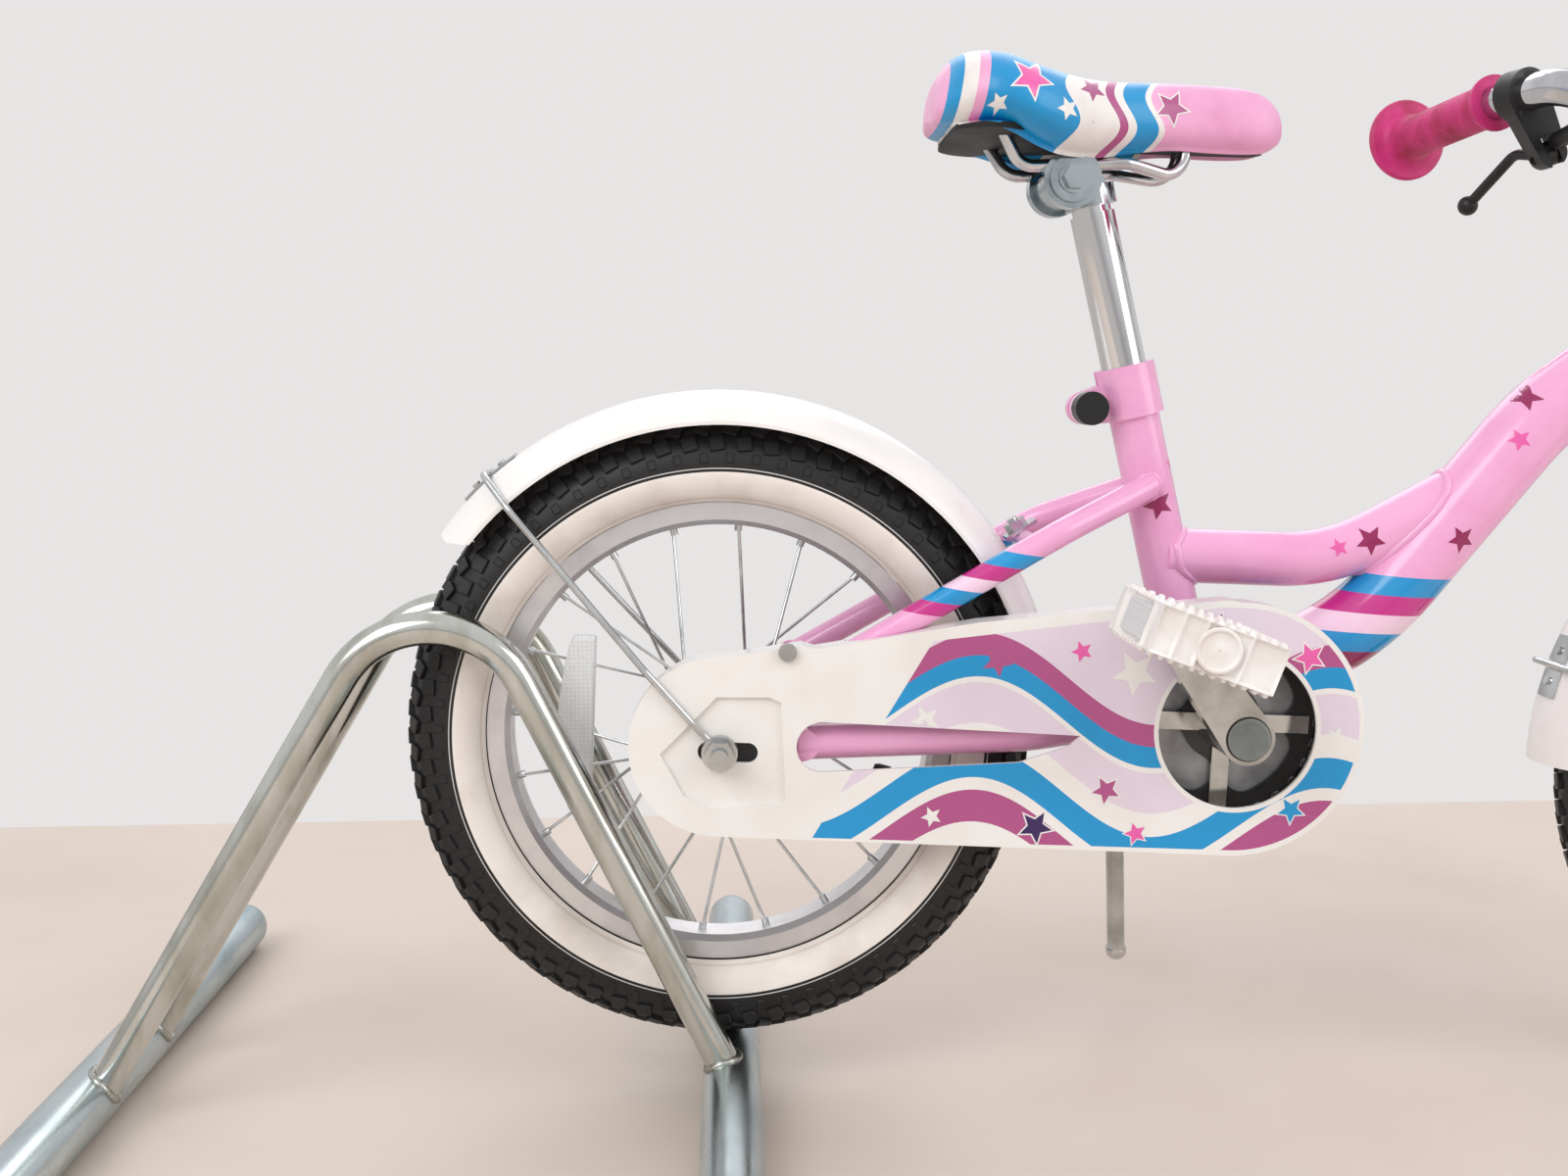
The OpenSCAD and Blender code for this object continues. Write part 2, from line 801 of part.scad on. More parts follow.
function polar(r, a) = [r * cos(a), r * sin(a)];
function spoke_angle(k) = spoke_first + k * 360 / spoke_count;
function hub_angle(k) = spoke_angle(k) + (k % 4 == 1 || k % 4 == 2 ? spoke_cross : -spoke_cross);
function spoke_sgn(k) = k % 2 == 1 ? -1 : 1;
function spoke_out(k) = k % 4 == 1 || k % 4 == 2 ? 1 : -1;
function spoke_y(k) = flange_y + spoke_out(k) * spoke_off;
function hub_hole(k, y) = [polar(spoke_circle_r, hub_angle(k))[0], spoke_sgn(k) * y,
    polar(spoke_circle_r, hub_angle(k))[1]];
function rim_hole(k, r) = [polar(r, spoke_angle(k))[0], 0, polar(r, spoke_angle(k))[1]];

// The straight part of both sidewalls, from half-width a at the section's middle to b at the rim
module sidewalls(a, b) {
    polygon([[tyre_mid_r, -a], [tyre_mid_r, a], [rim_r - 1, b], [rim_r - 1, -b]]);
}

module tyre() {
    turned() {
        difference() {
            union() {
                translate([tyre_mid_r, 0]) circle(r = tyre_w / 2, $fn = 96);
                sidewalls(tyre_w / 2, rim_w / 2 + 3.5);
            }
            translate([tyre_mid_r, 0]) circle(r = tyre_w / 2 - tyre_wall, $fn = 96);
            sidewalls(tyre_w / 2 - tyre_wall, rim_w / 2 - 2.5);
            translate([0, -tyre_w]) square([rim_r + 0.3, 2 * tyre_w]);
        }
        for (m = [0, 1]) mirror([0, m]) {
            translate([rim_r - 5, 8]) square([8, rim_w / 2 - 10.1]);
            translate([rim_r + 0.3, 8]) square([2.7, rim_w / 2 - 6]);
        }
    }
}

module rim() {
    w = rim_w / 2;
    difference() {
        turned() polygon([[rim_r, w], [rim_r - 10, w], [rim_in_r, w - 4], [rim_in_r, -w + 4],
            [rim_r - 10, -w], [rim_r, -w], [rim_r, -w + 1.8], [rim_r - 9, -w + 1.8],
            [rim_in_r + 1.8, -w + 5], [rim_in_r + 1.8, w - 5], [rim_r - 9, w - 1.8],
            [rim_r, w - 1.8]]);
        for (k = [0:spoke_count - 1]) rod(rim_hole(k, rim_in_r - 4), rim_hole(k, rim_in_r + 4), 2.25);
        rod([rim_in_r - 4, 0, -26], [rim_in_r + 8, 0, -29], 4.2);
    }
}

module spokes(more = 0) {
    for (k = [0:spoke_count - 1]) {
        rod(hub_hole(k, spoke_y(k)), rim_hole(k, rim_in_r), spoke_r + more);
        rod(rim_hole(k, rim_in_r - 4), rim_hole(k, rim_in_r + 3), 2.2 + more);
    }
}

module spoke_heads() {
    for (k = [0:spoke_count - 1]) {
        o = spoke_out(k);
        rod(hub_hole(k, flange_y - o * 2.6), hub_hole(k, spoke_y(k)), spoke_r);
        rod(hub_hole(k, flange_y - o * 2.6), hub_hole(k, flange_y - o * 1.6), spoke_r + 0.8);
        translate(hub_hole(k, spoke_y(k))) sphere(r = spoke_r);
    }
}

module hub(outer, bore, ends) {
    difference() {
        turned() polygon(outer);
        across(-80, 80, bore);
        across(ends[0], ends[1], 12);
        for (k = [0:spoke_count - 1])
            rod(hub_hole(k, flange_y - 4), hub_hole(k, flange_y + 6), spoke_r + 0.15);
    }
}

function hub_profile(r0, left, right, barrel) = [[r0, left], [r0, right], [barrel - 4, right],
    [barrel, right - 4], [barrel, flange_y + 1.5], [spoke_circle_r + 2.5, flange_y + 1.5],
    [spoke_circle_r + 2.5, flange_y - 1.5], [barrel, flange_y - 1.5], [barrel - 2, 8],
    [barrel - 2, -8], [barrel, -flange_y + 1.5], [spoke_circle_r + 2.5, -flange_y + 1.5],
    [spoke_circle_r + 2.5, -flange_y - 1.5], [barrel, -flange_y - 1.5], [barrel, left + 4],
    [barrel - 4, left]];

module rear_tyre() {
    color("#101010") on_bike() tyre();
}

module rear_rim() {
    color("#C9C8C9") on_bike() rim();
}

module rear_spokes() {
    color("#CFD1D2") on_bike() {
        spokes();
        spoke_heads();
    }
}

module rear_hub() {
    color("#A9ADAF") on_bike()
        hub(hub_profile(3, -30.5, 29.5, 18), rear_axle_r + fit, [-22, 22]);
}

module wheel_reflector() {
    color("#E4E7E8") on_bike() difference() {
        plate(-15, -4) intersection() {
            translate([-6, 3]) circle(r = rim_in_r - 31);
            translate([21 - rim_in_r, -49]) square([29, 104]);
        }
        spokes(0.12);
    }
}

module front_tyre() {
    color("#101010") on_bike() translate(front_axle) tyre();
}

module front_rim() {
    color("#C9C8C9") on_bike() translate(front_axle) rim();
}

module front_spokes() {
    color("#CFD1D2") on_bike() translate(front_axle) {
        spokes();
        spoke_heads();
    }
}

module front_hub() {
    color("#B9BCBF") on_bike() translate(front_axle)
        hub(hub_profile(2, -31, 31, 15), front_axle_r + fit, [-24, 24]);
}

// ---- Drive ----

module gear(teeth, r, phase) {
    turn = 360 / teeth;
    difference() {
        circle(r = r + 3.4);
        for (k = [0:teeth - 1]) rotate(phase + k * turn) {
            translate([r, 0]) circle(r = roller_r + 0.7, $fn = 32);
            polygon([[r, roller_r + 0.7], [r + 6, roller_r + 3.6], [r + 6, -roller_r - 3.6],
                     [r, -roller_r - 0.7]]);
        }
    }
}

ring_phase = upper_normal + (run_steps - ceil(run_steps)) * ring_turn;
sprocket_phase = lower_normal + (sprocket_start - ceil(sprocket_start)) * sprocket_turn;

function ring_pin(u) = [bb_x, bb_rise] + polar(ring_r, upper_normal - (u - run_steps) * ring_turn);
function low_pin(u) = [bb_x, bb_rise] + polar(ring_r, lower_normal)
    + (u - run_steps - ring_steps) * pitch * polar(1, lower_normal - 90);
function sprocket_pin(u) = polar(sprocket_r, lower_normal - (u - sprocket_start) * sprocket_turn);
function chain_pin(u) = u < run_steps
    ? polar(sprocket_r, upper_normal) + u * pitch * polar(1, upper_normal - 90)
    : u < run_steps + ring_steps ? ring_pin(u)
    : u < sprocket_start ? low_pin(u) : sprocket_pin(u);

module link_shape(d) {
    circle(r = 4);
    translate([d, 0]) circle(r = 4);
    translate([0, -2.9]) square([d, 5.8]);
}

module link(k) {
    a = chain_pin(k);
    b = chain_pin((k + 1) % chain_links);
    d = norm(b - a);
    translate([a[0], -chain_side, a[1]]) rotate([0, -atan2(b[1] - a[1], b[0] - a[0]), 0]) {
        if (k % 2 == 0) {
            both_sides() plate(outer_plate_y, outer_plate_y + chain_plate_t) link_shape(d);
            for (x = [0, d]) translate([x, 0, 0]) across(-chain_half_w, chain_half_w, chain_pin_r);
        } else difference() {
            union() {
                both_sides() plate(inner_plate_y, inner_plate_y + chain_plate_t) link_shape(d);
                for (x = [0, d]) translate([x, 0, 0]) across(-inner_plate_y, inner_plate_y, roller_r);
            }
            for (x = [0, d]) translate([x, 0, 0]) across(-4, 4, chain_pin_r + 0.2);
        }
    }
}

module chain() {
    color("#5B5E5F") on_bike() for (k = [0:chain_links - 1]) link(k);
}

module rear_sprocket() {
    color("#8E9294") on_bike() difference() {
        union() {
            plate(-chain_side - gear_t / 2, -chain_side + gear_t / 2)
                gear(sprocket_teeth, sprocket_r, sprocket_phase);
            across(-46, -31, 16);
        }
        across(-60, -20, rear_axle_r + fit);
    }
}

module chainring() {
    color("#2B2B2D") on_bike() translate(bb)
        plate(-chain_side - gear_t / 2, -chain_side + gear_t / 2) difference() {
            gear(ring_teeth, ring_r, ring_phase);
            circle(r = 12.05);
            for (a = [45:90:315]) rotate(a) {
                intersection() {
                    difference() {
                        circle(r = 43.5);
                        circle(r = 22.5);
                    }
                    polygon([[0, 0], [60, -22], [60, 22]]);
                }
                for (b = [-20, 20]) rotate(b) translate([33, 0]) circle(r = 10.5);
            }
        }
}

module crank_spindle() {
    color("#9A9D9F") on_bike() translate(bb) {
        across(-41, 41, spindle_r);
        both_sides() translate([-spindle_square / 2, 41, -spindle_square / 2])
            cube([spindle_square, 42, spindle_square]);
    }
}

module crank_arm(sgn, boss_y) {
    hole = spindle_square + 2 * fit;
    angle = sgn < 0 ? crank_angle : crank_angle + 180;
    translate(bb) rotate([0, -angle, 0]) mirror([0, sgn < 0 ? 1 : 0, 0]) {
        difference() {
            union() {
                plate(arm_y, arm_y + arm_t) taper(crank_l, boss_r, eye_r);
                across(boss_y, arm_y + arm_t, boss_r);
            }
            if (boss_y < 41) across(boss_y - 1, 41.5, spindle_r + fit);
            rotate([0, angle, 0]) translate([-hole / 2, 35, -hole / 2]) cube([hole, 51, hole]);
            translate([crank_l, 0, 0]) across(60, 100, pedal_spindle_r + fit);
        }
        across(arm_y + arm_t + 0.02, arm_y + arm_t + 2, 11.3);
        translate([crank_l, 0, 0]) {
            across(arm_y - 1, pedal_start + pedal_w - 6, pedal_spindle_r);
            across(arm_y + arm_t + 0.02, pedal_start - 1, 7);
            across(pedal_start + pedal_w - 12, pedal_start + pedal_w - 9, 7);
        }
    }
}

module right_crank() {
    color("#8F9496") on_bike() {
        crank_arm(-1, chain_side + gear_t / 2);
        translate(bb) {
            difference() {
                across(-chain_side - gear_t / 2, -chain_side + gear_t / 2, 12);
                across(-80, 0, spindle_r + fit);
            }
            plate(-chain_side - gear_t / 2 - 2.6, -chain_side - gear_t / 2) difference() {
                for (a = [0:90:270]) rotate(a) translate([0, -5]) square([49, 10]);
                circle(r = 12);
            }
        }
    }
}

module left_crank() {
    color("#8F9496") on_bike() crank_arm(1, 46);
}

module pedal(sgn) {
    y0 = pedal_start;
    angle = sgn < 0 ? crank_angle : crank_angle + 180;
    l = pedal_l / 2;
    h = pedal_h / 2;
    translate(bb) rotate([0, -angle, 0]) mirror([0, sgn < 0 ? 1 : 0, 0])
        translate([crank_l, 0, 0]) rotate([0, angle + (sgn < 0 ? pedal_tilt : -6), 0]) {
            difference() {
                union() {
                    plate(y0, y0 + 10) {
                        circle(r = h + 1);
                        translate([-l, -h]) square([2 * l, 2 * h]);
                    }
                    plate(y0 + pedal_w - 10, y0 + pedal_w) {
                        circle(r = h + 1);
                        translate([-l, -h]) square([2 * l, 2 * h]);
                    }
                    across(y0, y0 + pedal_w, 9);
                    for (x = [-l, l - 4]) translate([x, y0, -h]) cube([4, pedal_w, 2 * h]);
                    for (x = [-l + 12, l - 16]) for (z = [-h, h - 5])
                        translate([x, y0, z]) cube([4, pedal_w, 5]);
                }
                across(y0 - 1, y0 + pedal_w - 14, pedal_spindle_r + fit);
                across(y0 + pedal_w - 14, y0 + pedal_w - 4, 8);
                for (sx = [-1, 1]) translate([sx * l, y0 + pedal_w / 2, 0])
                    cube([4.6, pedal_w - 30, pedal_h - 9], center = true);
            }
            for (sx = [-1, 1]) translate([sx * (l - 1), y0 + pedal_w / 2, 0])
                cube([2.4, pedal_w - 30.4, pedal_h - 9.4], center = true);
        }
}

module right_pedal() {
    color("#E9E9E6") on_bike() pedal(-1);
}

module left_pedal() {
    color("#E9E9E6") on_bike() pedal(1);
}

// ---- Seat ----

module seatpost() {
    color("#C3C5C8") on_bike() difference() {
        union() {
            rod(on_seat(post_bottom_s), on_seat(post_neck_s), post_r);
            rod(on_seat(post_neck_s), on_seat(post_top_s), post_neck_r);
        }
        rod(on_seat(post_bottom_s - 1), on_seat(post_neck_s - 4), post_r - 1.8);
    }
}

module saddle_clamp() {
    color("#AAB0B2") on_bike() {
        difference() {
            union() {
                rod(on_seat(sleeve_low_s), on_seat(post_top_s), sleeve_r);
                translate(clamp_bolt) across(-cheek_in + 0.3, cheek_in - 0.3, 13.5);
                plate(-12, 12) taper_to([clamp_bolt[0], clamp_bolt[2]],
                    [on_seat(sleeve_low_s + 9)[0], on_seat(sleeve_low_s + 9)[2]], 9, 9);
            }
            rod(on_seat(sleeve_low_s - 3), on_seat(post_top_s + 3), post_neck_r + 0.02);
            translate(clamp_bolt) across(-30, 30, 4.05);
        }
        translate(clamp_bolt) {
            across(-cheek_out - 1, cheek_out + 1, 4);
            both_sides() {
                across(cheek_out + 0.3, cheek_out + 1.8, 8.5);
                translate([0, cheek_out + 1.8, 0]) rotate([-90, 0, 0])
                    cylinder(h = 4.5, r = 7, $fn = 6);
            }
        }
    }
}

module base_outline(inset) {
    for (y = [-34, 34]) translate([-46, y]) circle(r = 22 - inset);
    translate([-68 + inset, -34]) square([22 - inset, 68]);
    polygon([[-46, 56 - inset], [35, 17 - inset], [35, -17 + inset], [-46, -56 + inset]]);
    polygon([[34, 17 - inset], [101, 11 - inset], [101, -11 + inset], [34, -17 + inset]]);
    translate([101, 0]) circle(r = 11 - inset);
}

module blob(x, y, z, sx, sy, sz) {
    translate([x, y, z]) scale([sx, sy, sz]) sphere(r = 1, $fn = 40);
}

module saddle_cover() {
    color("#EFA9D2") on_bike() translate([clamp_bolt[0], 0, base_z]) difference() {
        union() {
            hull() {
                blob(-47, 38, 16, 33, 30, 32);
                blob(-47, -38, 16, 33, 30, 32);
                blob(32, 0, 16, 22, 29, 23);
            }
            hull() {
                blob(32, 0, 16, 22, 29, 23);
                blob(100, 0, 16, 22, 20, 20);
            }
        }
        translate([0, 0, -51]) linear_extrude(51 + saddle_base_t) base_outline(0);
    }
}

module saddle_base() {
    color("#1B1B1C") on_bike() translate([clamp_bolt[0], 0, base_z])
        linear_extrude(saddle_base_t) base_outline(seat_gap);
}

module saddle_rail_path(more = 0) {
    x = clamp_bolt[0];
    z = clamp_bolt[2] + rail_rise;
    both_sides() swept([[x - 42, 29, base_z + 6], [x - 29, rail_side, z],
        [x + 31, rail_side, z + 4], [x + 66, 9, z - 2],
        [x + 66, 9, base_z - 0.05]], rail_wire_d / 2 + more, 13);
}

module saddle_rails() {
    color("#B6B9BB") on_bike() difference() {
        saddle_rail_path();
        translate([clamp_bolt[0] - 83, -60, base_z - 0.02]) cube([180, 120, 20]);
    }
}

module clamp_cheeks() {
    color("#B4B9BB") on_bike() difference() {
        translate(clamp_bolt) both_sides() {
            across(cheek_in, cheek_out - 3, 16);
            across(cheek_out - 3, cheek_out, 13);
        }
        translate(clamp_bolt) across(-50, 50, 4 + fit);
        saddle_rail_path(0.03);
    }
}

// ---- Steering ----

module blade_path(r) {
    swept([on_steer(36, 8, -blade_side), on_steer(92, 0, -blade_side),
        on_steer(brake_s, 0, -blade_side), on_steer(brake_s, 0, blade_side),
        on_steer(92, 0, blade_side), on_steer(36, 8, blade_side)], r, 30);
}

module fork() {
    low = on_steer(36, 8) + 14 * unit(on_steer(92) - on_steer(36, 8));
    color("#F4B6DC") on_bike() difference() {
        union() {
            blade_path(blade_d / 2);
            rod(on_steer(brake_s - 8), on_steer(head_low - 9), 17);
            rod(on_steer(brake_s), on_steer(head_high + 20), steerer_r);
            both_sides() {
                plate(blade_side - 2, blade_side + 2)
                    taper_to([low[0], low[2]], [wheelbase, 0], 7, 12);
            }
        }
        rod(on_steer(brake_s + 9), on_steer(head_high + 30), 11.2);
        translate(front_axle) across(-80, 80, front_axle_r + 2 * seat_gap);
        translate(front_axle) rotate([0, -90 + head_lean, 0])
            translate([-40, -60, -front_axle_r - seat_gap])
            cube([40, 120, front_axle_d + 2 * seat_gap]);
        rod(on_steer(brake_s, -30), on_steer(brake_s, 30), 3.1);
    }
}

module front_axle_set() {
    both_sides() difference() {
        across(31.6, blade_side - 2, 8);
        across(30, 60, front_axle_r + 0.03);
    }
    across(-front_nut_end, front_nut_end, front_axle_r);
    across(-front_axle_end, front_axle_end, front_axle_r - tip_step);
    for (sgn = [-1, 1]) axle_nut(sgn, blade_side + 2 + stay_d + 0.1, 8, 14, front_axle_r + 0.03);
}

module front_axle() {
    color("#C2C4C6") on_bike() translate([wheelbase, 0, 0]) front_axle_set();
}

stem_low_s = head_low + 34;
stem_neck_s = bar_height - 7;

module stem() {
    color("#C9CACD") on_bike() {
        difference() {
            union() {
                rod(on_steer(stem_low_s), on_steer(stem_neck_s), 11.1);
                rod(on_steer(stem_neck_s - 14), on_steer(stem_neck_s + 11), 13.5);
                translate([0, 0, 0]) plate(-14, 14) taper_to(
                    [on_steer(stem_neck_s)[0], on_steer(stem_neck_s)[2]], [bar_c[0], bar_c[2]],
                    12, 16);
                translate(bar_c) across(-19, 19, 16.5);
            }
            translate(bar_c) across(-30, 30, bar_d / 2 + 0.02);
            translate(bar_c) rotate([0, 12, 0]) translate([0, -30, -1.2]) cube([40, 60, 2.4]);
        }
        rod(on_steer(stem_neck_s + 11.02), on_steer(stem_neck_s + 16), 6.5);
        difference() {
            rod(on_steer(head_high + 8.4), on_steer(head_high + 17), 17.5);
            rod(on_steer(head_high), on_steer(head_high + 30), steerer_r + 0.03);
        }
    }
}

module bar_path(r) {
    function flip(p) = [p[0], -p[1], p[2]];
    swept([bar_end, bar_grip, bar_rear, bar_flat, flip(bar_flat), flip(bar_rear),
           flip(bar_grip), flip(bar_end)], r, bar_bend);
}

module handlebar() {
    color("#C9CACD") on_bike() difference() {
        bar_path(bar_d / 2);
        bar_path(bar_d / 2 - 1.6);
    }
}

module grips() {
    color("#D02C7C") on_bike() both_sides() difference() {
        union() {
            rod(bar_end - grip_l * grip_dir, bar_end + 2.5 * grip_dir, grip_d / 2);
            rod(bar_end - grip_l * grip_dir, bar_end - (grip_l - 4) * grip_dir, grip_d / 2 + 4);
            rod(bar_end - 3 * grip_dir, bar_end + grip_dir, grip_end_d / 2);
        }
        rod(bar_end - (grip_l + 2) * grip_dir, bar_end, bar_d / 2 + 0.02);
    }
}

module front_mudguard() {
    color("#F3F1F0") on_bike() translate(front_axle) mud_sector(62, 181);
}

module front_mudguard_stay() {
    side = blade_side + 2 + stay_d / 2 + 0.05;
    color("#B9BDBF") on_bike() {
        translate(front_axle) {
            difference() {
                mud_stay(front_stay_angle, side, side + 0.4);
                across(-80, 80, 9);
            }
            eyelets(side, front_axle_r + 0.03);
            difference() {
                stay_clip(front_stay_angle);
                mud_stay(front_stay_angle, side, side + 0.4);
            }
        }
        rod(on_steer(brake_s, -24), on_steer(brake_s, 29), 3);
        rod(on_steer(brake_s, -22), on_steer(brake_s, -17.1), 6);
        rod(on_steer(brake_s, 25.4), on_steer(brake_s, 29.5), 6);
    }
}

// ---- Front brake ----

// Place a shape drawn outwards and along the steering axis, from n0 to n1 ahead of it
module brake_plate(n0, n1) {
    translate([steer_x, 0, 0]) rotate([0, -head_lean, 0]) translate([n0, 0, 0])
        rotate([90, 0, 90]) linear_extrude(n1 - n0) children();
}

module brake_arm(n0, n1) {
    difference() {
        union() {
            brake_plate(n0, n1) {
                taper_to([0, brake_s], [34, brake_s - 1], 9, 6.5);
                taper_to([34, brake_s - 1], [41, brake_s - 22], 6.5, 5.5);
                taper_to([41, brake_s - 22], [38, pad_s + 8], 5.5, 5);
                taper_to([38, pad_s + 8], [27, pad_s], 5, 6);
            }
            rod(on_steer(pad_s, n0 + 0.5, 21), on_steer(pad_s, n1 - 0.5, 21), 3);
            brake_plate(n0 - 1.5, n1 + 1.5) translate([rim_w / 2 + pad_gap, pad_s - 5])
                square([9, 10]);
            brake_plate(n0, n1) taper_to([22, pad_s], [27, pad_s], 4, 4);
        }
        rod(on_steer(brake_s, -40), on_steer(brake_s, 40), 3 + fit);
    }
}

module right_brake_arm() {
    color("#3A3B3D") on_bike() mirror([0, 1, 0]) brake_arm(17.4, 21);
}

module left_brake_arm() {
    color("#3A3B3D") on_bike() brake_arm(21.4, 25);
}

module lever_axis(r, h) {
    translate(lever_pivot) rotate([0, -lever_tilt, 0]) rotate([0, 90, 0])
        cylinder(h = h, r = r, center = true);
}

module brake_lever_mount() {
    color("#1A1A1B") on_bike() difference() {
        union() {
            rod(lever_seat - 8 * lever_dir, lever_seat + 7 * lever_dir, 15.5);
            translate([0, lever_seat[1], 0]) plate(-9, 5) taper_to(
                [lever_seat[0], lever_seat[2]], [lever_pivot[0], lever_pivot[2]], 13, 9);
            translate([0, -4, 0]) rod(lever_pivot + [2, -36, 12], lever_pivot + [1, 0, 6], 5.5);
        }
        rod(lever_seat - 30 * lever_dir, lever_seat + 30 * lever_dir, bar_d / 2 + 0.02);
        lever_axis(3, 60);
        translate(lever_pivot) rotate([0, -lever_tilt, 0]) translate([-3.8, -9.5, -40])
            cube([7.6, 60, 51.5]);
    }
}

module brake_lever() {
    ball = lever_pivot + [-18, 66, -25];
    elbow = lever_pivot + [-7, 28, 4];
    color("#1A1A1B") on_bike() {
        lever_axis(8, 6);
        swept([lever_pivot + [0, 4, 0], elbow, ball], 3.4, 12);
        translate(ball) sphere(r = 6.5);
        lever_axis(3 - fit, 16);
    }
}

module brake_cable() {
    barrel = unit([1, -36, 6]);
    start = lever_pivot + [2, -40, 12] + 0.05 * barrel;
    color("#202022") on_bike() swept([start, start + 17 * barrel, on_steer(352, 66, 34),
        on_steer(268, 58, -26), on_steer(brake_s + 16, 31, -22)], 2.5, 16);
}

// ---- Kickstand ----

module kick_place() {
    translate(kick_pivot) rotate(kick_frame) children();
}

module kickstand_bracket() {
    color("#F0B4DA") on_bike() {
        difference() {
            union() {
                kick_place() across(-17, -3.6, 11);
                kick_place() across(-5, 9, 4);
                kick_place() across(3.6, 6.5, 7.5);
            }
            swept(chainstay_points(1), chainstay_d / 2 + 0.02, 60);
        }
    }
}

module kickstand_leg() {
    color("#AEB3B5") on_bike() kick_place() {
        difference() {
            union() {
                across(-3.2, 3.2, 11);
                rotate([0, kick_lean[1], 0]) rotate([kick_lean[0], 0, 0])
                    rod([0, 0, 0], [0, 0, -kick_l], 5.8);
            }
            across(-20, 20, 4 + fit);
            across(-30, -3.3, 13);
            across(3.4, 30, 9);
        }
        rotate([0, kick_lean[1], 0]) rotate([kick_lean[0], 0, 0])
            translate([0, 0, -kick_l]) sphere(r = 7);
    }
}

stand_rails();
stand_right_hoop();
stand_left_hoop();
rail_caps();
bottom_bracket_shell();
seat_tube();
down_tube();
top_tube();
head_tube();
right_chainstay();
left_chainstay();
right_seatstay();
left_seatstay();
seat_collar();
collar_bolt();
headset_cups();
bottom_bracket_cups();
rear_axle();
coaster_arm();
chain_guard();
frame_screws();
rear_mudguard();
rear_mudguard_stay();
chain();
kickstand_bracket();
kickstand_leg();
rear_tyre();
rear_rim();
rear_spokes();
rear_hub();
wheel_reflector();
rear_sprocket();
crank_spindle();
right_crank();
left_crank();
chainring();
right_pedal();
left_pedal();
seatpost();
saddle_clamp();
saddle_cover();
saddle_base();
saddle_rails();
clamp_cheeks();
fork();
front_axle();
stem();
handlebar();
grips();
front_mudguard();
front_mudguard_stay();
brake_lever_mount();
brake_cable();
brake_lever();
right_brake_arm();
left_brake_arm();
front_tyre();
front_rim();
front_spokes();
front_hub();
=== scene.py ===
"""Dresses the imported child's bicycle and the welded stand that holds its rear wheel.

The classes below give each sub-assembly its finishes and the pieces that only a mesh can show:
knobbly tyres, the sewn saddle cover, moulded grips, printed films and weld beads. Lengths in the
classes are millimetres along the bicycle, and every mesh is placed in metres.
"""
from __future__ import annotations

import logging
import math
from dataclasses import dataclass
from enum import Enum
from typing import Callable, Iterable, Sequence

import bmesh
import bpy
from mathutils import Matrix, Vector

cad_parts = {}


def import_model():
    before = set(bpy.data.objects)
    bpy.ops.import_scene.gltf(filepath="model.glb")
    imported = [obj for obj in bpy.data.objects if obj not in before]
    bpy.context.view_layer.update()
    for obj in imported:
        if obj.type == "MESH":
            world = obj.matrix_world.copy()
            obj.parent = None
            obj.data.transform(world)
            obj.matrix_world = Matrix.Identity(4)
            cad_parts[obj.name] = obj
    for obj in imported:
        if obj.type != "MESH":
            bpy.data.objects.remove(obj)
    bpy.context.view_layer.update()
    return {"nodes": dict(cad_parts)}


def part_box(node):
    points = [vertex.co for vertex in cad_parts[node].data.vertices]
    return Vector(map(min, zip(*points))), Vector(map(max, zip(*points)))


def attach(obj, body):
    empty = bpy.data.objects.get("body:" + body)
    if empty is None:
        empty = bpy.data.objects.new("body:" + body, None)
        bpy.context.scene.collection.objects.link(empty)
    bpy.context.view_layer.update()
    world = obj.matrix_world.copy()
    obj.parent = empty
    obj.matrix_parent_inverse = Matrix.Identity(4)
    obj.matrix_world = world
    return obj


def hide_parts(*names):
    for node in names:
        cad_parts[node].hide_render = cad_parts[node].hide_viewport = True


MM = 0.001
LOG = logging.getLogger("bicycle")
RIGHT, LEFT = -1, 1
SIDES = ((RIGHT, "right"), (LEFT, "left"))

# Parts of a noise's range from 0 to 1 that carry the mottling, the specks and the change of gloss.
CLOUDS = (0.42, 0.75)
SPECKS = (0.66, 0.74)
GLOSS = (0.3, 0.7)
COAT_ROUGHNESS = 0.08
SMOOTHEST = 0.03


# ---- Node and mesh helpers ----


def linear(colour: str) -> tuple[float, float, float, float]:
    """Turns an sRGB hex colour into Blender's linear values.

    Args:
        colour: Six hex digits after a hash sign.

    Returns:
        Red, green, blue and alpha.
    """
    parts = [int(colour[i : i + 2], 16) / 255 for i in (1, 3, 5)]
    turned = [p / 12.92 if p <= 0.04045 else ((p + 0.055) / 1.055) ** 2.4 for p in parts]
    return (turned[0], turned[1], turned[2], 1.0)


def add_node(tree: bpy.types.NodeTree, kind: str, settings: dict | None = None,
             inputs: dict | None = None) -> bpy.types.Node:
    """Adds one node with its settings, values and links.

    Args:
        tree: Node tree to add to.
        kind: Blender's name of the node type.
        settings: Values of the node's own properties.
        inputs: Values or sockets for its inputs, by name or number.

    Returns:
        The new node.
    """
    made = tree.nodes.new(kind)
    for key, value in (settings or {}).items():
        setattr(made, key, value)
    for key, value in (inputs or {}).items():
        if isinstance(value, bpy.types.NodeSocket):
            tree.links.new(value, made.inputs[key])
        else:
            made.inputs[key].default_value = value
    return made


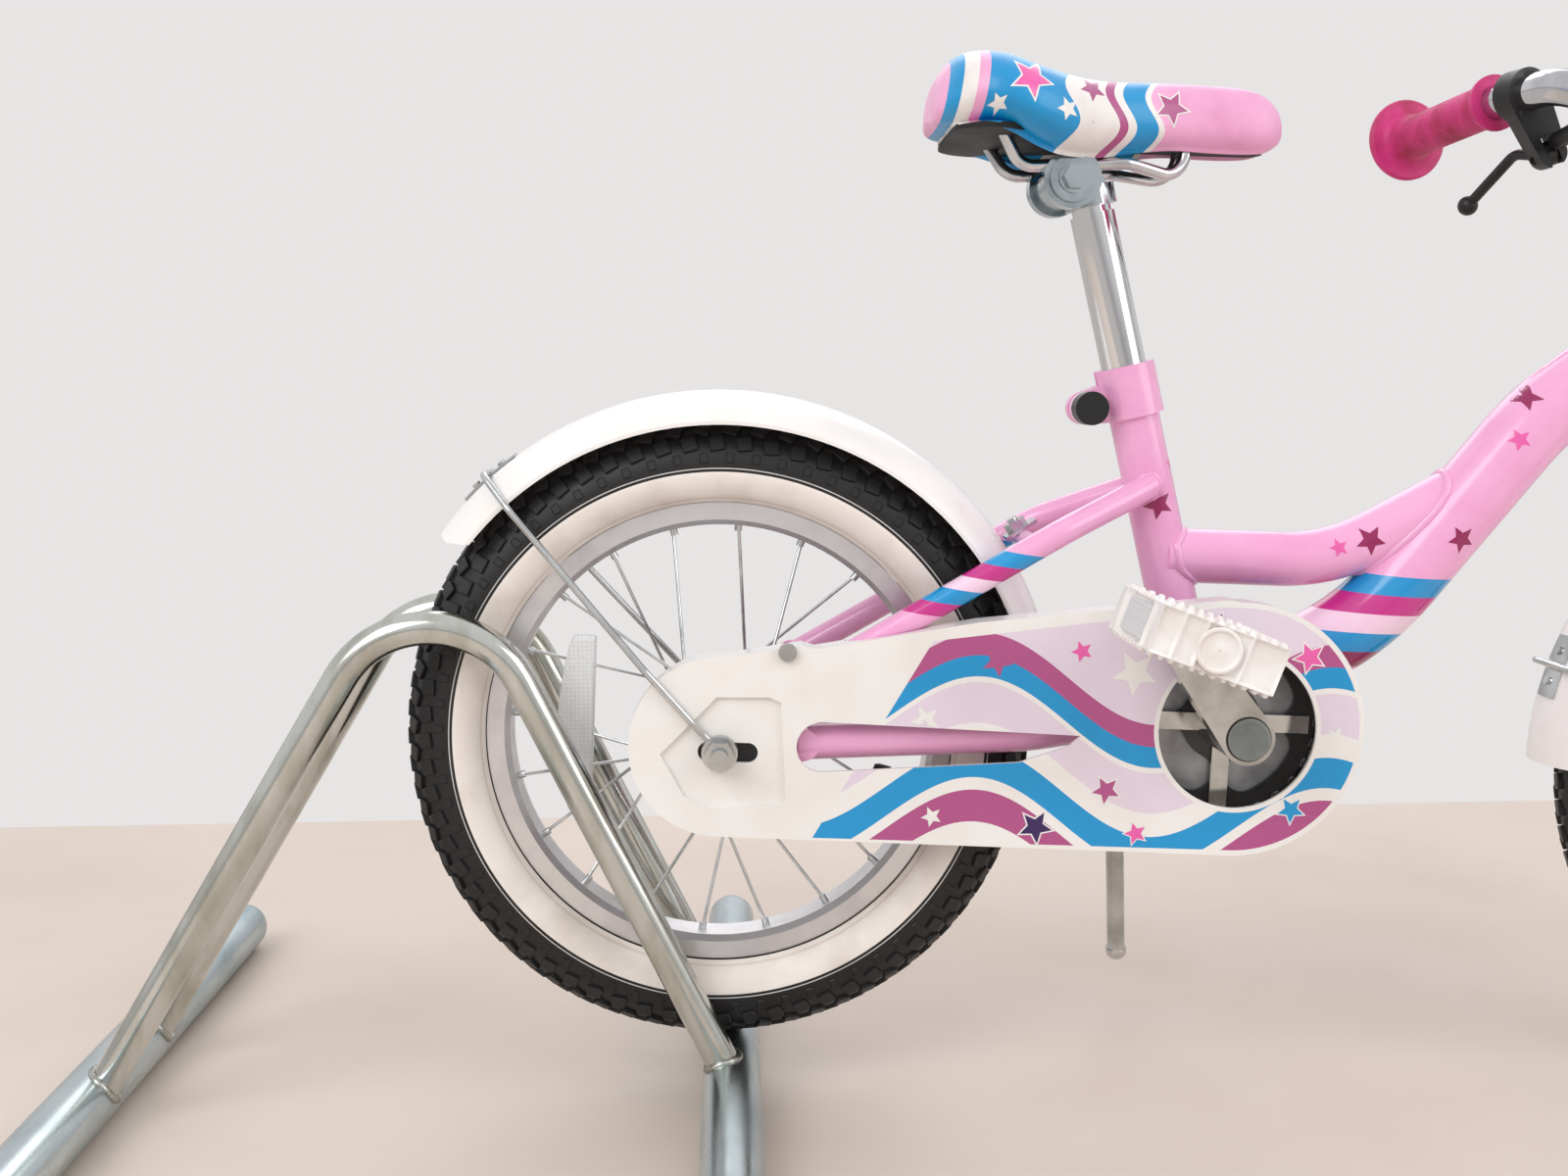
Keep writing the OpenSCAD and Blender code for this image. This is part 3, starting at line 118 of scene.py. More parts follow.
def set_stops(ramp: bpy.types.Node, stops: Sequence[tuple[float, str]], flat: bool = True) -> None:
    """Writes colour stops into a colour ramp.

    Args:
        ramp: Colour ramp node.
        stops: Positions from 0 to 1 with their hex colours, in order.
        flat: True for hard edges between the colours.
    """
    bar = ramp.color_ramp
    bar.interpolation = "CONSTANT" if flat else "LINEAR"
    while len(bar.elements) > 1:
        bar.elements.remove(bar.elements[-1])
    bar.elements[0].position = stops[0][0]
    bar.elements[0].color = linear(stops[0][1])
    for place, colour in stops[1:]:
        bar.elements.new(place).color = linear(colour)


def banded(tree: bpy.types.NodeTree, value: bpy.types.NodeSocket, span: tuple[float, float],
           rows: Sequence[tuple[float, str]]) -> bpy.types.NodeSocket:
    """Colours a surface in hard-edged bands along a measure in millimetres.

    Args:
        tree: The material's tree.
        value: The measure.
        span: Where the bands begin and end.
        rows: Where each band begins, with its hex colour.

    Returns:
        A colour socket.
    """
    low, high = span
    share = add_node(tree, "ShaderNodeMapRange", None,
                     {"Value": value, "From Min": low, "From Max": high})
    ramp = add_node(tree, "ShaderNodeValToRGB", None, {0: share.outputs[0]})
    set_stops(ramp, [((at - low) / (high - low), colour) for at, colour in rows])
    return ramp.outputs[0]


def only(obj: bpy.types.Object) -> bpy.types.Object:
    """Leaves one object alone selected and active.

    Args:
        obj: The object.

    Returns:
        The same object.
    """
    for other in bpy.context.selected_objects:
        other.select_set(False)
    obj.select_set(True)
    bpy.context.view_layer.objects.active = obj
    return obj


def new_piece(name: str) -> bpy.types.Object:
    """Names the primitive that was just added and leaves it alone selected.

    Args:
        name: Name of the piece and of its mesh.

    Returns:
        The piece.
    """
    obj = bpy.context.object
    obj.name = name
    obj.data.name = name
    return only(obj)


def place(obj: bpy.types.Object, matrix: Matrix) -> bpy.types.Object:
    """Bakes an object's place and a further matrix into its mesh.

    Args:
        obj: The object.
        matrix: Where it goes from there. A mirror's faces are turned outwards again.

    Returns:
        The same object, now unturned at the origin.
    """
    obj.data.transform(matrix @ obj.matrix_basis)
    obj.matrix_basis = Matrix.Identity(4)
    if matrix.to_3x3().determinant() < 0:
        obj.data.flip_normals()
    obj.data.update()
    return obj


def copied(obj: bpy.types.Object, matrix: Matrix, name: str) -> bpy.types.Object:
    """Copies a piece with its own mesh to another place.

    Args:
        obj: The piece.
        matrix: From the piece to its copy.
        name: Name of the copy.

    Returns:
        The copy.
    """
    twin = obj.copy()
    twin.data = obj.data.copy()
    twin.name = name
    bpy.context.scene.collection.objects.link(twin)
    return place(twin, matrix)


def joined(parts: Sequence[bpy.types.Object], name: str) -> bpy.types.Object:
    """Joins several pieces into one.

    Args:
        parts: The pieces, of which the first one stays.
        name: Name of the whole.

    Returns:
        The joined piece.
    """
    only(parts[0])
    for part in parts:
        part.select_set(True)
    if len(parts) > 1:
        bpy.ops.object.join()
    return new_piece(name)


def bake_modifiers(obj: bpy.types.Object) -> bpy.types.Object:
    """Applies all of a piece's modifiers.

    Args:
        obj: The piece.

    Returns:
        The same piece.
    """
    only(obj)
    for modifier in list(obj.modifiers):
        bpy.ops.object.modifier_apply(modifier=modifier.name)
    return obj


def bevelled(obj: bpy.types.Object, width: float, segments: int = 1) -> bpy.types.Object:
    """Rounds a piece's sharp edges.

    Args:
        obj: The piece.
        width: Width of the rounding in millimetres.
        segments: Faces across it.

    Returns:
        The same piece.
    """
    edge = obj.modifiers.new("edges", "BEVEL")
    edge.width, edge.segments, edge.limit_method = width * MM, segments, "ANGLE"
    return bake_modifiers(obj)


def select_where(obj: bpy.types.Object, kind: str, test: Callable[..., bool]) -> None:
    """Goes into edit mode and selects the corners or faces that pass a test.

    Args:
        obj: The piece.
        kind: Either verts or faces.
        test: Says of each one whether it is selected.
    """
    bpy.ops.object.mode_set(mode="EDIT")
    mesh = bmesh.from_edit_mesh(obj.data)
    for each in getattr(mesh, kind):
        each.select_set(test(each))
    bmesh.update_edit_mesh(obj.data)


def close_shell(threshold: float) -> None:
    """Merges doubles in the mesh that is edited, turns its faces outwards and leaves edit mode.

    Args:
        threshold: Distance in metres at which two corners are one.
    """
    bpy.ops.mesh.select_all(action="SELECT")
    bpy.ops.mesh.remove_doubles(threshold=threshold)
    bpy.ops.mesh.normals_make_consistent(inside=False)
    bpy.ops.object.mode_set(mode="OBJECT")


def smooth(obj: bpy.types.Object, angle: float = 40) -> bpy.types.Object:
    """Shades a piece smooth where its faces meet at a small angle.

    Args:
        obj: The piece.
        angle: The largest such angle in degrees.

    Returns:
        The same piece.
    """
    only(obj)
    bpy.ops.object.shade_smooth_by_angle(angle=math.radians(angle))
    return obj


def paint(obj: bpy.types.Object, *materials: bpy.types.Material) -> bpy.types.Object:
    """Gives a piece its materials.

    Args:
        obj: The piece.
        materials: The materials in the order of its slots.

    Returns:
        The same piece.
    """
    obj.data.materials.clear()
    for material in materials:
        obj.data.materials.append(material)
    return obj


def tube(name: str, points: Sequence[Vector], radius: float, cyclic: bool = False,
         swell: Callable[[int], float] | None = None, sides: int = 3) -> bpy.types.Object:
    """Makes a round bar along points in metres.

    Args:
        name: Name of the piece.
        points: Points of its centre line.
        radius: Radius in metres.
        cyclic: True for a closed ring.
        swell: Factor on the radius at each point.
        sides: Bevel resolution of the section.

    Returns:
        The bar as a mesh.
    """
    curve = bpy.data.curves.new(name, "CURVE")
    curve.dimensions = "3D"
    curve.bevel_depth = radius
    curve.bevel_resolution = sides
    curve.use_fill_caps = True
    line = curve.splines.new("POLY")
    line.points.add(len(points) - 1)
    for index, point in enumerate(points):
        line.points[index].co = (*point, 1)
        line.points[index].radius = swell(index) if swell else 1
    line.use_cyclic_u = cyclic
    obj = bpy.data.objects.new(name, curve)
    bpy.context.scene.collection.objects.link(obj)
    only(obj)
    bpy.ops.object.convert(target="MESH")
    return new_piece(name)


def turned(name: str, profile: Sequence[tuple[float, float]], steps: int) -> bpy.types.Object:
    """Turns a closed profile about the Y axis.

    Args:
        name: Name of the piece.
        profile: Radius and distance along Y of each corner, in millimetres, in order.
        steps: Steps of the full turn.

    Returns:
        The turned piece, in metres.
    """
    bpy.ops.mesh.primitive_circle_add(vertices=len(profile), radius=0.01)
    obj = new_piece(name)
    for vertex, (radius, along) in zip(obj.data.vertices, profile):
        vertex.co = (radius * MM, along * MM, 0)
    bpy.ops.object.mode_set(mode="EDIT")
    bpy.ops.mesh.select_all(action="SELECT")
    bpy.ops.mesh.spin(steps=steps, angle=math.tau, center=(0, 0, 0), axis=(0, 1, 0))
    close_shell(1e-6)
    return obj


# ---- Where the bicycle stands ----


@dataclass(frozen=True)
class Stance:
    """The bicycle's own axes, from its rear axle along its wheelbase, in the stand's axes.

    The bracket is the crank's axis, the seat tube starts a little behind it, and the steering
    axis passes the front axle at the fork's offset.
    """

    rear: Vector
    pitch: float
    wheelbase: float
    guard_face: float = -64.0
    bracket: tuple[float, float] = (283.49, 22.0)
    head_lean: float = 22.0
    fork_offset: float = 28.0
    seat_lean: float = 15.5
    seat_back: float = 4.5

    @classmethod
    def from_wheels(cls) -> "Stance":
        """Finds the stance from the two tyres' boxes.

        Returns:
            The stance.
        """
        middles = []
        for node in ("rear_tyre", "front_tyre"):
            low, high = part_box(node)
            middles.append((low + high) / 2)
        span = middles[1] - middles[0]
        return cls(middles[0], math.atan2(-span.z, span.x), span.length / MM)

    @property
    def matrix(self) -> Matrix:
        """Bicycle metres to the stand's axes."""
        return Matrix.Translation(self.rear) @ Matrix.Rotation(self.pitch, 4, "Y")

    def at(self, x: float, y: float, z: float) -> Vector:
        """A point of the bicycle in millimetres, in metres of the stand's axes."""
        return self.matrix @ (Vector((x, y, z)) * MM)

    def seat(self, s: float, y: float = 0) -> Vector:
        """A point up the seat tube, in bicycle millimetres."""
        lean = math.radians(self.seat_lean)
        return Vector((self.bracket[0] - self.seat_back - s * math.sin(lean), y,
                       self.bracket[1] + s * math.cos(lean)))

    def steer(self, s: float, n: float = 0, y: float = 0) -> Vector:
        """A point up the steering axis, in bicycle millimetres.

        Args:
            s: Distance up the axis from beside the front axle.
            n: Distance ahead of it.
            y: Distance to the left.

        Returns:
            The point.
        """
        lean = math.radians(self.head_lean)
        foot = self.wheelbase - self.fork_offset / math.cos(lean)
        return Vector((foot - s * math.sin(lean) + n * math.cos(lean), y,
                       s * math.cos(lean) + n * math.sin(lean)))

    def coordinates(self, tree: bpy.types.NodeTree, origin: Vector = Vector()) -> bpy.types.Node:
        """Adds the nodes that give a surface point in bicycle millimetres.

        Args:
            tree: The material's tree.
            origin: The bicycle point that counts as zero.

        Returns:
            The node whose output is the point.
        """
        where = add_node(tree, "ShaderNodeTexCoord")
        turn = Matrix.Rotation(-self.pitch, 3, "Y")
        shift = -(turn @ self.rear) / MM - origin
        return add_node(tree, "ShaderNodeMapping", {"vector_type": "POINT"},
                        {"Vector": where.outputs["Object"], "Location": shift,
                         "Rotation": (0, -self.pitch, 0), "Scale": (1 / MM,) * 3})


# ---- Finishes ----


class Hue(Enum):
    """Colours of the paint, plastics and printed films."""

    PINK = "#F3AFD8"
    PALE_PINK = "#F6D5EA"
    STAR_PINK = "#EC5FAE"
    MAGENTA = "#C92A8B"
    DARK_MAGENTA = "#930C56"
    MAUVE = "#B3518A"
    BLUE = "#0296D4"
    PURPLE = "#2B0C58"
    LAVENDER = "#E6D8E7"
    WHITE = "#F1EFEC"


@dataclass(frozen=True)
class Finish:
    """A moulded, painted or plated surface with grain, mottling, dust and scuffs.

    Each size is in millimetres. The mottling shifts the colour towards the shade and the gloss
    up and down by the spread, the grain is the bump that light catches, of the depth given, and
    specks are small marks of wear. Real grain is a tenth of a millimetre or less, too fine to
    show, so it is drawn at about one.
    """

    name: str
    colour: str
    shade: str
    roughness: float = 0.4
    spread: float = 0.08
    metallic: float = 0.0
    coat: float = 0.0
    ior: float = 1.5
    grain: float = 0.8
    depth: float = 0.02
    mottle: float = 45.0
    stretch: tuple[float, float, float] = (1.0, 1.0, 1.0)
    specks: float = 0.0
    speck_size: float = 6.0
    speck_colour: str = "#6F6A68"
    sheen: float = 0.0

    def start(self) -> tuple[bpy.types.Material, bpy.types.NodeTree, bpy.types.Node]:
        """Makes the empty material with its shader.

        Returns:
            The material, its tree and its principled shader.
        """
        material = bpy.data.materials.new(self.name)
        material.use_nodes = True
        tree = material.node_tree
        shader = tree.nodes["Principled BSDF"]
        shader.inputs["Metallic"].default_value = self.metallic
        shader.inputs["Coat Weight"].default_value = self.coat
        shader.inputs["Coat Roughness"].default_value = COAT_ROUGHNESS
        shader.inputs["Sheen Weight"].default_value = self.sheen
        if not self.metallic:
            shader.inputs["IOR"].default_value = self.ior
        return material, tree, shader

    def base(self, tree: bpy.types.NodeTree) -> bpy.types.NodeSocket:
        """Gives the colour before mottling and wear.

        Args:
            tree: The material's tree.

        Returns:
            A colour socket.
        """
        return add_node(tree, "ShaderNodeRGB").outputs[0]

    def make(self) -> bpy.types.Material:
        """Builds the material.

        Returns:
            The finished material.
        """
        material, tree, shader = self.start()
        where = add_node(tree, "ShaderNodeTexCoord")
        drawn = add_node(tree, "ShaderNodeMapping", {"vector_type": "POINT"},
                         {"Vector": where.outputs["Object"], "Scale": self.stretch})
        clouds = add_node(tree, "ShaderNodeTexNoise", None,
                          {"Vector": drawn.outputs[0], "Scale": 1000 / self.mottle,
                           "Detail": 4.0, "Roughness": 0.55})
        colour = self.base(tree)
        if colour.node.bl_idname == "ShaderNodeRGB":
            colour.default_value = linear(self.colour)
        spread = add_node(tree, "ShaderNodeMapRange", None,
                          {"Value": clouds.outputs["Fac"], "From Min": CLOUDS[0],
                           "From Max": CLOUDS[1]})
        mixed = add_node(tree, "ShaderNodeMix", {"data_type": "RGBA", "blend_type": "MULTIPLY"},
                         {"Factor": spread.outputs[0], 6: colour, 7: linear(self.shade)})
        last = mixed.outputs[2]
        if self.specks:
            marks = add_node(tree, "ShaderNodeTexNoise", None,
                             {"Vector": where.outputs["Object"],
                              "Scale": 1000 / self.speck_size, "Detail": 6.0,
                              "Roughness": 0.72})
            chosen = add_node(tree, "ShaderNodeMapRange", None,
                              {"Value": marks.outputs["Fac"], "From Min": SPECKS[0],
                               "From Max": SPECKS[1], "To Max": self.specks})
            last = add_node(tree, "ShaderNodeMix", {"data_type": "RGBA"},
                            {"Factor": chosen.outputs[0], 6: last,
                             7: linear(self.speck_colour)}).outputs[2]
        tree.links.new(last, shader.inputs["Base Color"])
        rough = add_node(tree, "ShaderNodeMapRange", None,
                         {"Value": clouds.outputs["Fac"], "From Min": GLOSS[0],
                          "From Max": GLOSS[1],
                          "To Min": max(SMOOTHEST, self.roughness - self.spread),
                          "To Max": self.roughness + self.spread})
        tree.links.new(rough.outputs[0], shader.inputs["Roughness"])
        grain = add_node(tree, "ShaderNodeTexNoise", None,
                         {"Vector": where.outputs["Object"], "Scale": 1000 / self.grain,
                          "Detail": 2.0})
        bump = add_node(tree, "ShaderNodeBump", None,
                        {"Height": grain.outputs["Fac"], "Distance": self.depth * MM,
                         "Strength": 1.0})
        tree.links.new(bump.outputs[0], shader.inputs["Normal"])
        return material


@dataclass(frozen=True)
class BandedPaint(Finish):
    """Enamel with a film of stripes across a tube, which read its height on the bicycle."""

    stance: Stance | None = None
    span: tuple[float, float] = (0.0, 100.0)
    tilt: float = 0.0
    bands: tuple[tuple[float, str], ...] = ()

    def base(self, tree: bpy.types.NodeTree) -> bpy.types.NodeSocket:
        """Gives the stripes' colours by height.

        Args:
            tree: The material's tree.

        Returns:
            A colour socket.
        """
        where = self.stance.coordinates(tree)
        parts = add_node(tree, "ShaderNodeSeparateXYZ", None, {0: where.outputs[0]})
        slope = add_node(tree, "ShaderNodeMath", {"operation": "MULTIPLY_ADD"},
                         {0: parts.outputs["X"], 1: self.tilt, 2: parts.outputs["Z"]})
        return banded(tree, slope.outputs[0], self.span, self.bands)


@dataclass(frozen=True)
class GuardPrint(Finish):
    """White polypropylene with a printed film: waving ribbons on a lavender field.

    The field ends at the round front, at the window and at two straight edges, each given by
    its slope and its place. The film is on the guard's face alone.
    """

    stance: Stance | None = None
    swing: float = 24.0
    wave: float = 196.0
    wave_start: float = 92.0
    span: tuple[float, float] = (-90.0, 110.0)
    ribbons: tuple[tuple[float, Hue], ...] = (
        (-90, Hue.WHITE), (-58, Hue.MAUVE), (-40, Hue.WHITE), (-33, Hue.BLUE), (-16, Hue.WHITE),
        (-3, Hue.LAVENDER), (20, Hue.WHITE), (23, Hue.BLUE), (35, Hue.MAUVE),
        (47, Hue.LAVENDER))
    window: float = 46.5
    outer: float = 68.0
    ring_shift: float = 1.5
    back_edge: tuple[float, float] = (-0.55, 78.0)
    top_edge: tuple[float, float] = (-0.152, 48.5)
    film_depth: float = 0.1

    def base(self, tree: bpy.types.NodeTree) -> bpy.types.NodeSocket:
        """Gives the printed colours inside the field and white outside it.

        Args:
            tree: The material's tree.

        Returns:
            A colour socket.
        """
        where = self.stance.coordinates(tree)
        parts = add_node(tree, "ShaderNodeSeparateXYZ", None, {0: where.outputs[0]})
        x, y, z = (parts.outputs[k] for k in "XYZ")
        turn = add_node(tree, "ShaderNodeMath", {"operation": "MULTIPLY_ADD"},
                        {0: x, 1: math.tau / self.wave,
                         2: -math.tau * self.wave_start / self.wave})
        sway = add_node(tree, "ShaderNodeMath", {"operation": "SINE"}, {0: turn.outputs[0]})
        drop = add_node(tree, "ShaderNodeMath", {"operation": "MULTIPLY_ADD"},
                        {0: sway.outputs[0], 1: -self.swing, 2: z})
        printed = banded(tree, drop.outputs[0], self.span,
                         [(at, hue.value) for at, hue in self.ribbons])
        right = add_node(tree, "ShaderNodeMath", {"operation": "SUBTRACT"},
                         {0: x, 1: self.stance.bracket[0] + self.ring_shift})
        beyond = add_node(tree, "ShaderNodeMath", {"operation": "MAXIMUM"},
                          {0: right.outputs[0], 1: 0.0})
        up = add_node(tree, "ShaderNodeMath", {"operation": "SUBTRACT"},
                      {0: z, 1: self.stance.bracket[1]})
        edge = add_node(tree, "ShaderNodeCombineXYZ", None,
                        {"X": beyond.outputs[0], "Z": up.outputs[0]})
        hole = add_node(tree, "ShaderNodeCombineXYZ", None,
                        {"X": right.outputs[0], "Z": up.outputs[0]})
        edge_r = add_node(tree, "ShaderNodeVectorMath", {"operation": "LENGTH"},
                          {0: edge.outputs[0]})
        hole_r = add_node(tree, "ShaderNodeVectorMath", {"operation": "LENGTH"},
                          {0: hole.outputs[0]})
        back = add_node(tree, "ShaderNodeMath", {"operation": "MULTIPLY_ADD"},
                        {0: z, 1: self.back_edge[0], 2: x})
        roof = add_node(tree, "ShaderNodeMath", {"operation": "MULTIPLY_ADD"},
                        {0: x, 1: self.top_edge[0], 2: z})
        tests = [(edge_r.outputs["Value"], "LESS_THAN", self.outer),
                 (hole_r.outputs["Value"], "GREATER_THAN", self.window),
                 (back.outputs[0], "GREATER_THAN", self.back_edge[1]),
                 (roof.outputs[0], "LESS_THAN", self.top_edge[1]),
                 (y, "LESS_THAN", self.stance.guard_face + self.film_depth)]
        inside: bpy.types.NodeSocket | float = 1.0
        for socket, operation, limit in tests:
            test = add_node(tree, "ShaderNodeMath", {"operation": operation},
                            {0: socket, 1: limit})
            inside = add_node(tree, "ShaderNodeMath", {"operation": "MULTIPLY"},
                              {0: test.outputs[0], 1: inside}).outputs[0]
        return add_node(tree, "ShaderNodeMix", {"data_type": "RGBA"},
                        {"Factor": inside, 6: linear(self.colour), 7: printed}).outputs[2]


@dataclass(frozen=True)
class TyreRubber(Finish):
    """Vulcanised rubber, black with a cream sidewall band and a thin white line beside it."""

    stance: Stance | None = None
    axle: tuple[float, float, float] = (0.0, 0.0, 0.0)
    span: tuple[float, float] = (120.0, 190.0)
    rings: tuple[tuple[float, str], ...] = (
        (120, "#EFE8E1"), (136, "#E2D8CF"), (137, "#F1EAE4"), (151.6, "#121212"),
        (153.1, "#D8D6D4"))
    black_from: float = 153.8

    def base(self, tree: bpy.types.NodeTree) -> bpy.types.NodeSocket:
        """Gives the rings' colours by distance from the axle.

        Args:
            tree: The material's tree.

        Returns:
            A colour socket.
        """
        where = self.stance.coordinates(tree, Vector(self.axle))
        flat = add_node(tree, "ShaderNodeVectorMath", {"operation": "MULTIPLY"},
                        {0: where.outputs[0], 1: (1.0, 0.0, 1.0)})
        radius = add_node(tree, "ShaderNodeVectorMath", {"operation": "LENGTH"},
                          {0: flat.outputs[0]})
        return banded(tree, radius.outputs["Value"], self.span,
                      [*self.rings, (self.black_from, self.colour)])


@dataclass(frozen=True)
class SaddleVinyl(Finish):
    """Printed and stretched PVC sheet, with stripes at the tail and a pink nose.

    The stripes behind the swell are straight, and further forward they wave with the height.
    """

    stance: Stance | None = None
    wave: float = 0.16
    phase: float = -57.0
    swell: tuple[float, float] = (138.0, 160.0)
    swing: float = 5.5
    lean: float = -0.12
    span: tuple[float, float] = (50.0, 280.0)
    stripes: tuple[tuple[float, Hue], ...] = (
        (50, Hue.PINK), (66, Hue.BLUE), (72, Hue.WHITE), (79, Hue.PINK), (85, Hue.BLUE),
        (132, Hue.WHITE), (157, Hue.MAUVE), (163, Hue.WHITE), (168, Hue.BLUE),
        (182, Hue.WHITE), (185, Hue.PINK))

    def base(self, tree: bpy.types.NodeTree) -> bpy.types.NodeSocket:
        """Gives the print's colours along the saddle.

        Args:
            tree: The material's tree.

        Returns:
            A colour socket.
        """
        where = self.stance.coordinates(tree)
        parts = add_node(tree, "ShaderNodeSeparateXYZ", None, {0: where.outputs[0]})
        turn = add_node(tree, "ShaderNodeMath", {"operation": "MULTIPLY_ADD"},
                        {0: parts.outputs["Z"], 1: self.wave, 2: self.phase})
        sway = add_node(tree, "ShaderNodeMath", {"operation": "SINE"}, {0: turn.outputs[0]})
        grow = add_node(tree, "ShaderNodeMapRange", None,
                        {"Value": parts.outputs["X"], "From Min": self.swell[0],
                         "From Max": self.swell[1], "To Max": self.swing})
        bent = add_node(tree, "ShaderNodeMath", {"operation": "MULTIPLY_ADD"},
                        {0: sway.outputs[0], 1: grow.outputs[0], 2: parts.outputs["X"]})
        slope = add_node(tree, "ShaderNodeMath", {"operation": "MULTIPLY_ADD"},
                         {0: parts.outputs["Z"], 1: self.lean, 2: bent.outputs[0]})
        return banded(tree, slope.outputs[0], self.span,
                      [(at, hue.value) for at, hue in self.stripes])


@dataclass(frozen=True)
class ClearLens:
    """Moulded clear acrylic whose back is a field of small prisms."""

    name: str = "clear acrylic prism lens"
    tint: str = "#F7F8F8"
    shadow: str = "#DDE0E1"
    ior: float = 1.49
    clearness: float = 0.15
    prism: float = 2.4
    jitter: float = 0.15
    gloss: tuple[float, float] = (0.06, 0.3)
    relief: float = 0.5

    def make(self) -> bpy.types.Material:
        """Builds the material.

        Returns:
            The finished material.
        """
        material = bpy.data.materials.new(self.name)
        material.use_nodes = True
        tree = material.node_tree
        shader = tree.nodes["Principled BSDF"]
        shader.inputs["IOR"].default_value = self.ior
        shader.inputs["Transmission Weight"].default_value = self.clearness
        where = add_node(tree, "ShaderNodeTexCoord")
        cells = add_node(tree, "ShaderNodeTexVoronoi", {"feature": "F1"},
                         {"Vector": where.outputs["Object"], "Scale": 1000 / self.prism,
                          "Randomness": self.jitter})
        rough = add_node(tree, "ShaderNodeMapRange", None,
                         {"Value": cells.outputs["Distance"], "To Min": self.gloss[0],
                          "To Max": self.gloss[1]})
        tree.links.new(rough.outputs[0], shader.inputs["Roughness"])
        tone = add_node(tree, "ShaderNodeMix", {"data_type": "RGBA"},
                        {"Factor": cells.outputs["Distance"], 6: linear(self.tint),
                         7: linear(self.shadow)})
        tree.links.new(tone.outputs[2], shader.inputs["Base Color"])
        bump = add_node(tree, "ShaderNodeBump", None,
                        {"Height": cells.outputs["Distance"], "Distance": self.relief * MM})
        tree.links.new(bump.outputs[0], shader.inputs["Normal"])
        return material


class FinishBook:
    """Makes each finish once and hands it out by name."""

    def __init__(self) -> None:
        """Starts with no materials."""
        self.made: dict[str, bpy.types.Material] = {}

    def get(self, finish: Finish | ClearLens) -> bpy.types.Material:
        """Gives the material of a finish, which is made on first use.

        Args:
            finish: The finish.

        Returns:
            Its material.
        """
        if finish.name not in self.made:
            self.made[finish.name] = finish.make()
        return self.made[finish.name]

    def film(self, hue: Hue) -> bpy.types.Material:
        """Gives the printed film of one colour."""
        return self.get(Finish(f"printed film {hue.name.lower()}", hue.value, "#F4F4F4",
                               roughness=0.3, coat=0.4, grain=1.5, depth=0.008, mottle=30))


# ---- Sub-assemblies ----


@dataclass
class SubAssembly:
    """What every sub-assembly shares: the CAD nodes, the finishes and the bicycle's axes."""

    nodes: dict
    book: FinishBook
    stance: Stance

    @property
    def kit(self) -> tuple[dict, FinishBook, Stance]:
        """What a further sub-assembly is made with."""
        return self.nodes, self.book, self.stance

    def dress(self, finish: Finish | ClearLens, *names: str) -> None:
        """Gives the finish to the CAD nodes of these names."""
        for name in names:
            paint(self.nodes[name], self.book.get(finish))

    def keep(self, obj: bpy.types.Object, body: str) -> bpy.types.Object:
        """Lets a new piece ride on a body and reports it.

        Args:
            obj: The piece.
            body: Name of the body.

        Returns:
            The same piece.
        """
        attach(obj, body)
        LOG.info("%s rides on %s", obj.name, body)
        return obj

    def weld(self, name: str, start: Vector, along: Vector, radius: float, centre: Vector,
             axis: Vector, wall: float, bead: float, lift: float = 0.3, steps: int = 44,
             dip: float = 0.9, flank: float = 0.4) -> bpy.types.Object:
        """Lays a weld bead where a tube meets the outside of another tube.

        Args:
            name: Name of the bead.
            start: Point inside the other tube on this tube's axis.
            along: Direction of this tube away from the other one.
            radius: This tube's radius.
            centre: Point on the other tube's axis.
            axis: Direction of the other tube.
            wall: The other tube's radius.
            bead: Radius of the bead.
            lift: How far the bead's middle lies outside this tube.
            steps: Points round the bead, of which every other one dips.
            dip: Share of the bead's radius in a dip.
            flank: Least share of the other tube's radius that the bead keeps from its axis.

        Returns:
            The bead as a mesh. All lengths but the lift are in metres.
        """
        d, e = along.normalized(), axis.normalized()
        side = d.cross(e).normalized()
        other = side.cross(d)
        points = []
        for k in range(steps):
            turn = math.tau * k / steps
            p = start + (radius + lift * MM) * (math.cos(turn) * side + math.sin(turn) * other)
            a, b = d - e * d.dot(e), (p - centre) - e * (p - centre).dot(e)
            half, rest = a.dot(b) / a.dot(a), (b.dot(b) - wall * wall) / a.dot(a)
            root = half * half - rest
            points.append(p + d * (-half + math.sqrt(max(root, (flank * wall) ** 2))))
        return smooth(tube(name, points, bead, True, lambda k: 1.0 if k % 2 else dip), 60)


